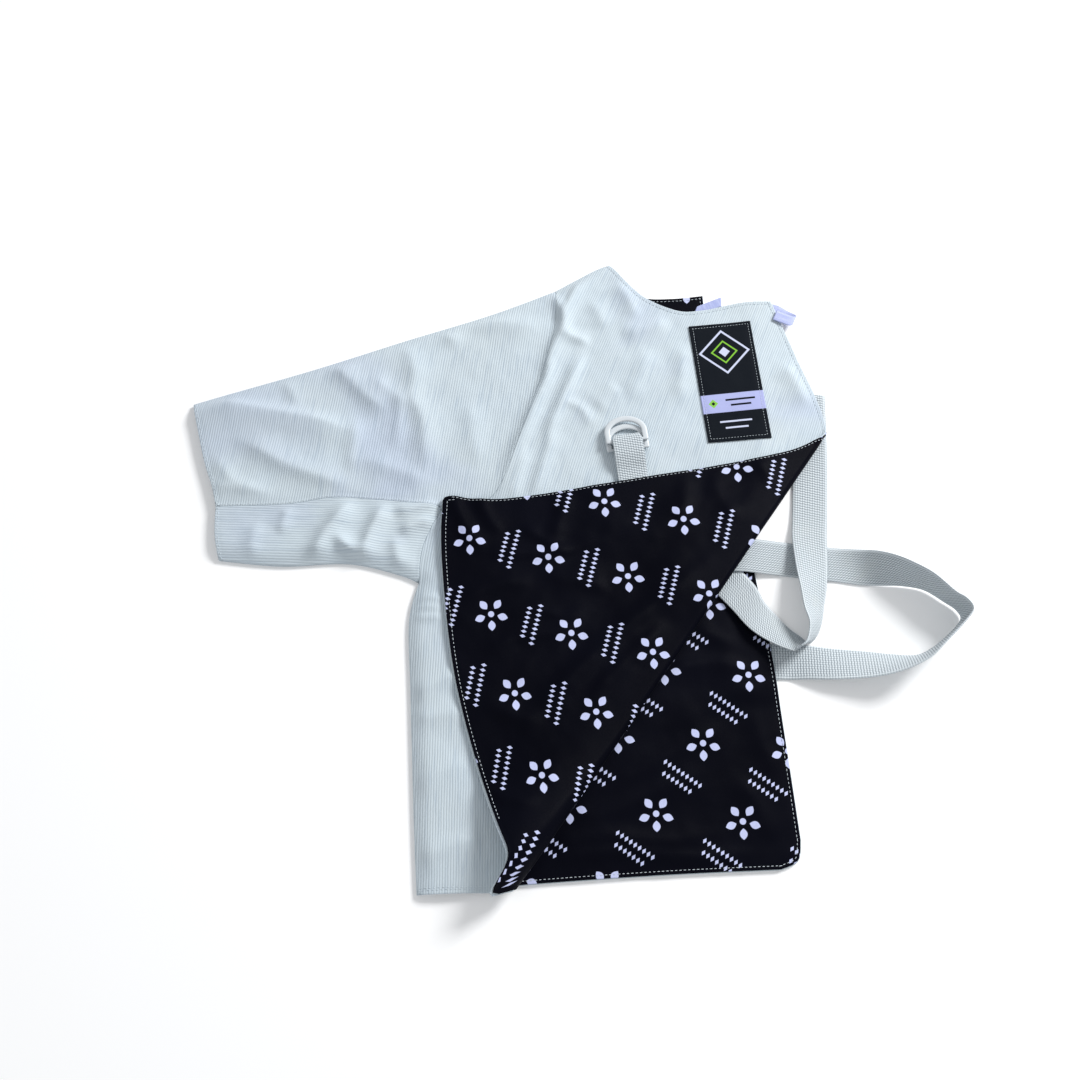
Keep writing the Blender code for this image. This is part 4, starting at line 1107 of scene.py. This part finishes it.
makeRing("upperRing", 6, tabSize["barZ"], 3.0, "ring_upper", "ring_upper")
makeRing("lowerRing", 12.4, 10.5, 2.6, "ring_lower", "garment")
print("rings made")


# sewing: a node tree lays stitches along lines on the cloth

def stitchTree():
    tree = bpy.data.node_groups.new("stitchRow", "GeometryNodeTree")
    face = tree.interface
    face.new_socket("Geometry", in_out="INPUT", socket_type="NodeSocketGeometry")
    plain = {"Pitch": 0.0034, "Stitch Length": 0.0024, "Thread Width": 0.0005, "Unevenness": 0.25}
    for title, value in plain.items():
        face.new_socket(title, in_out="INPUT", socket_type="NodeSocketFloat").default_value = value
    face.new_socket("Seed", in_out="INPUT", socket_type="NodeSocketInt").default_value = 1
    face.new_socket("Material", in_out="INPUT", socket_type="NodeSocketMaterial")
    face.new_socket("Geometry", in_out="OUTPUT", socket_type="NodeSocketGeometry")

    def add(kind, settings=None, **links):
        made = tree.nodes.new(kind)
        for key, value in (settings or {}).items():
            setattr(made, key, value)
        for key, value in links.items():
            socket = made.inputs[key.replace("_", " ")]
            if isinstance(value, bpy.types.NodeSocket):
                tree.links.new(value, socket)
            else:
                socket.default_value = value
        return made

    source = add("NodeGroupInput").outputs
    curves = add("GeometryNodeMeshToCurve", Mesh=source["Geometry"])
    dots = add("GeometryNodeCurveToPoints", {"mode": "LENGTH"}, Curve=curves.outputs[0],
               Length=source["Pitch"])
    ball = add("GeometryNodeMeshUVSphere", Segments=6, Rings=5, Radius=0.5)
    size = add("ShaderNodeCombineXYZ", X=source["Thread Width"], Y=source["Thread Width"],
               Z=source["Stitch Length"])
    stitch = add("GeometryNodeTransform", Geometry=ball.outputs[0], Scale=size.outputs[0])
    least = add("ShaderNodeMath", {"operation": "SUBTRACT"})
    least.inputs[0].default_value = 1.0
    tree.links.new(source["Unevenness"], least.inputs[1])
    vary = add("FunctionNodeRandomValue", {"data_type": "FLOAT"}, Seed=source["Seed"])
    floats = [socket for socket in vary.inputs if socket.name in ("Min", "Max") and socket.type == "VALUE"]
    tree.links.new(least.outputs[0], floats[0])
    floats[1].default_value = 1.0
    number = next(socket for socket in vary.outputs if socket.type == "VALUE" and socket.enabled)
    scale = add("ShaderNodeCombineXYZ", X=1.0, Y=1.0, Z=number)
    laid = add("GeometryNodeInstanceOnPoints", Points=dots.outputs["Points"], Instance=stitch.outputs[0],
               Rotation=dots.outputs["Rotation"], Scale=scale.outputs[0])
    real = add("GeometryNodeRealizeInstances", Geometry=laid.outputs[0])
    coloured = add("GeometryNodeSetMaterial", Geometry=real.outputs[0], Material=source["Material"])
    tree.links.new(coloured.outputs[0], add("NodeGroupOutput").inputs[0])
    return tree


stitchRow = stitchTree()


def sew(name, rows, slot, look=None, **sizes):  # rows of points in millimetres
    points = np.vstack(rows)
    starts = np.cumsum([0] + [len(row) for row in rows])
    mesh = bpy.data.meshes.new(name + "Lines")
    mesh.from_pydata(rowPlace(points).tolist(), [
        (k, k + 1) for a, b in zip(starts, starts[1:]) for k in range(a, b - 1)], [])
    holder = linked(name + "Lines", mesh)
    modifier = holder.modifiers.new("stitches", "NODES")
    modifier.node_group = stitchRow
    sizes["Material"] = look or threadLook
    for item in stitchRow.interface.items_tree:
        if item.in_out == "INPUT" and item.name in sizes:
            modifier[item.identifier] = sizes[item.name]
    evaluated = holder.evaluated_get(bpy.context.evaluated_depsgraph_get())
    plain = bpy.data.meshes.new_from_object(evaluated)
    holder.modifiers.remove(modifier)
    bpy.data.objects.remove(holder)
    plain.shade_smooth()
    made = linked(name, plain)
    return finishPiece(made, look or threadLook, [])


stitching = {
    "sink": 0.12, "step": 1.2, "insetShare": 0.55, "shortest": 6, "rollShare": 0.55, "beforeFold": 2,
    "fineThread": 0.00045, "clearOfStrap": 40, "labelInset": 6.0,
}


def seamRows(name, inset, cells, form, lift, keep=None, backwards=True):  # rows beside one side of a panel
    side = lines[name][::-1] if backwards else lines[name]
    path = evenLine(moved(side, inset), stitching["step"])
    outline = cells[3]
    good = inside(path, outline) & (lineDistance(path, outline) > inset * stitching["insetShare"])
    if keep is not None:
        good &= keep(path)
    marks = np.flatnonzero(np.diff(np.concatenate([[0], good.astype(int), [0]])))
    runs = zip(marks[::2], marks[1::2])
    return [form(path[a:b], lift) for a, b in runs if b - a > stitching["shortest"]]


def lying(path):
    alongAt, past = foldPlaces(path)
    return past + foldRadius(alongAt) < stitching["beforeFold"]


def turnedBack(path):
    alongAt, past = foldPlaces(path)
    radius = foldRadius(alongAt)
    return past + radius > math.pi * radius * stitching["rollShare"]


topFace = upperLift + layers["cloth"] / 2 + stitching["sink"]
liningFace = liningLift - layers["lining"] / 2 - stitching["sink"]
backFace = layers["cloth"] + layers["gap"] + layers["lining"] + stitching["sink"]
flapRows = seamRows("centre", 2.2, frontLiningCells, frontForm, liningFace, turnedBack)
flapRows += seamRows("frontHem", 4.6, frontLiningCells, frontForm, liningFace, turnedBack)
sew("flapStitches", flapRows, "ribbed_cotton", Seed=3)
backRows = []
for sideName in ("backNeck", "backEdge", "backHem", "backCorner"):
    backRows += seamRows(sideName, 3.2, backLiningCells, backLiningForm, backFace,
                         lambda path: np.hypot(*(path - backCalm["middle"]).T) > stitching["clearOfStrap"])
sew("backStitches", backRows, "ribbed_cotton", Seed=5)
clothRows = []
clothInsets = (("frontNeck", 3.0), ("centre", 3.0), ("frontHem", 3.4), ("frontHem", 5.0), ("shoulder", 2.4))
for sideName, inset in clothInsets:
    clothRows += seamRows(sideName, inset, frontCells, frontForm, topFace, lying)
fine = {"Thread Width": stitching["fineThread"]}
sew("frontStitches", clothRows, "ribbed_cotton", Seed=7, **fine)
sleeveRows = []
sleeveInsets = (
    ("cuffUpper", 2.6, sleeveFrontCells), ("cuffUnder", 2.6, underarmCells),
    ("sleeveSeam", 1.4, sleeveFrontCells),
)
for sideName, inset, cells in sleeveInsets:
    sleeveRows += seamRows(sideName, inset, cells, sleeveForm, topFace, backwards=False)
sew("sleeveStitches", sleeveRows, "ribbed_cotton", Seed=9, **fine)

labelCorners = np.array(labelSize["corners"], float)
labelMiddle = labelCorners.mean(axis=0)
labelShrink = 1 - stitching["labelInset"] / np.array((55, 113))
labelRing = labelMiddle + (labelCorners - labelMiddle) * labelShrink
labelPath = evenLine(np.vstack([labelRing, labelRing[:1]]), stitching["step"])
sew("labelStitches", [frontForm(labelPath, labelLift + labelSize["thickness"] / 2 + stitching["sink"])],
    "woven_label", Seed=11, **{"Pitch": 0.0026, "Stitch Length": 0.0018, "Thread Width": 0.00036})
print("stitches laid")


# camera, light and floor
view = {"focalPixels": 1361, "imagePixels": 1080, "distance": 1.150, "tiltDeg": 20.0}
aim = Vector((-planCentre[0] * mm, -planCentre[1] * mm, 0))
tilt = math.radians(view["tiltDeg"])
cameraData = bpy.data.cameras.new("camera")
cameraData.sensor_width = 36
cameraData.lens = 36 * view["focalPixels"] / view["imagePixels"]
cameraObject = linked("camera", cameraData)
cameraObject.location = aim + Vector((0, -math.sin(tilt), math.cos(tilt))) * view["distance"]
cameraObject.rotation_euler = (tilt, 0, 0)
bpy.context.scene.camera = cameraObject


def softLight(name, place, size, watts):
    data = bpy.data.lights.new(name, "AREA")
    data.shape, data.size, data.energy = "DISK", size, watts
    lamp = linked(name, data)
    lamp.location = place
    lamp.rotation_euler = (-Vector(place)).to_track_quat("-Z", "Y").to_euler()


softLight("keyLight", (1.7, 1.3, 1.4), 0.9, 72)
softLight("fillLight", (-1.2, -1.2, 1.9), 1.6, 6)
world = bpy.data.worlds.new("studio")
world.use_nodes = True
world.node_tree.nodes["Background"].inputs["Color"].default_value = (0.95, 0.97, 1.0, 1)
world.node_tree.nodes["Background"].inputs["Strength"].default_value = 0.50
bpy.context.scene.world = world
bpy.context.scene.view_settings.view_transform = "Standard"

floorMesh = bpy.data.meshes.new("floor")
floorHalf, floorZ = 4, -0.0004
floorCorners = [(x * floorHalf, y * floorHalf, floorZ) for x, y in ((-1, -1), (1, -1), (1, 1), (-1, 1))]
floorMesh.from_pydata(floorCorners, [], [(0, 1, 2, 3)])
floorLook = Look("paleFloor", **{"Base Color": (0.96, 0.96, 0.96, 1), "Roughness": 0.9,
                                 "Specular IOR Level": 0.1, "Emission Color": (1, 1, 1, 1),
                                 "Emission Strength": 0.07})
floorMesh.materials.append(floorLook.material)
floor = linked("floor", floorMesh)

print("scene made")
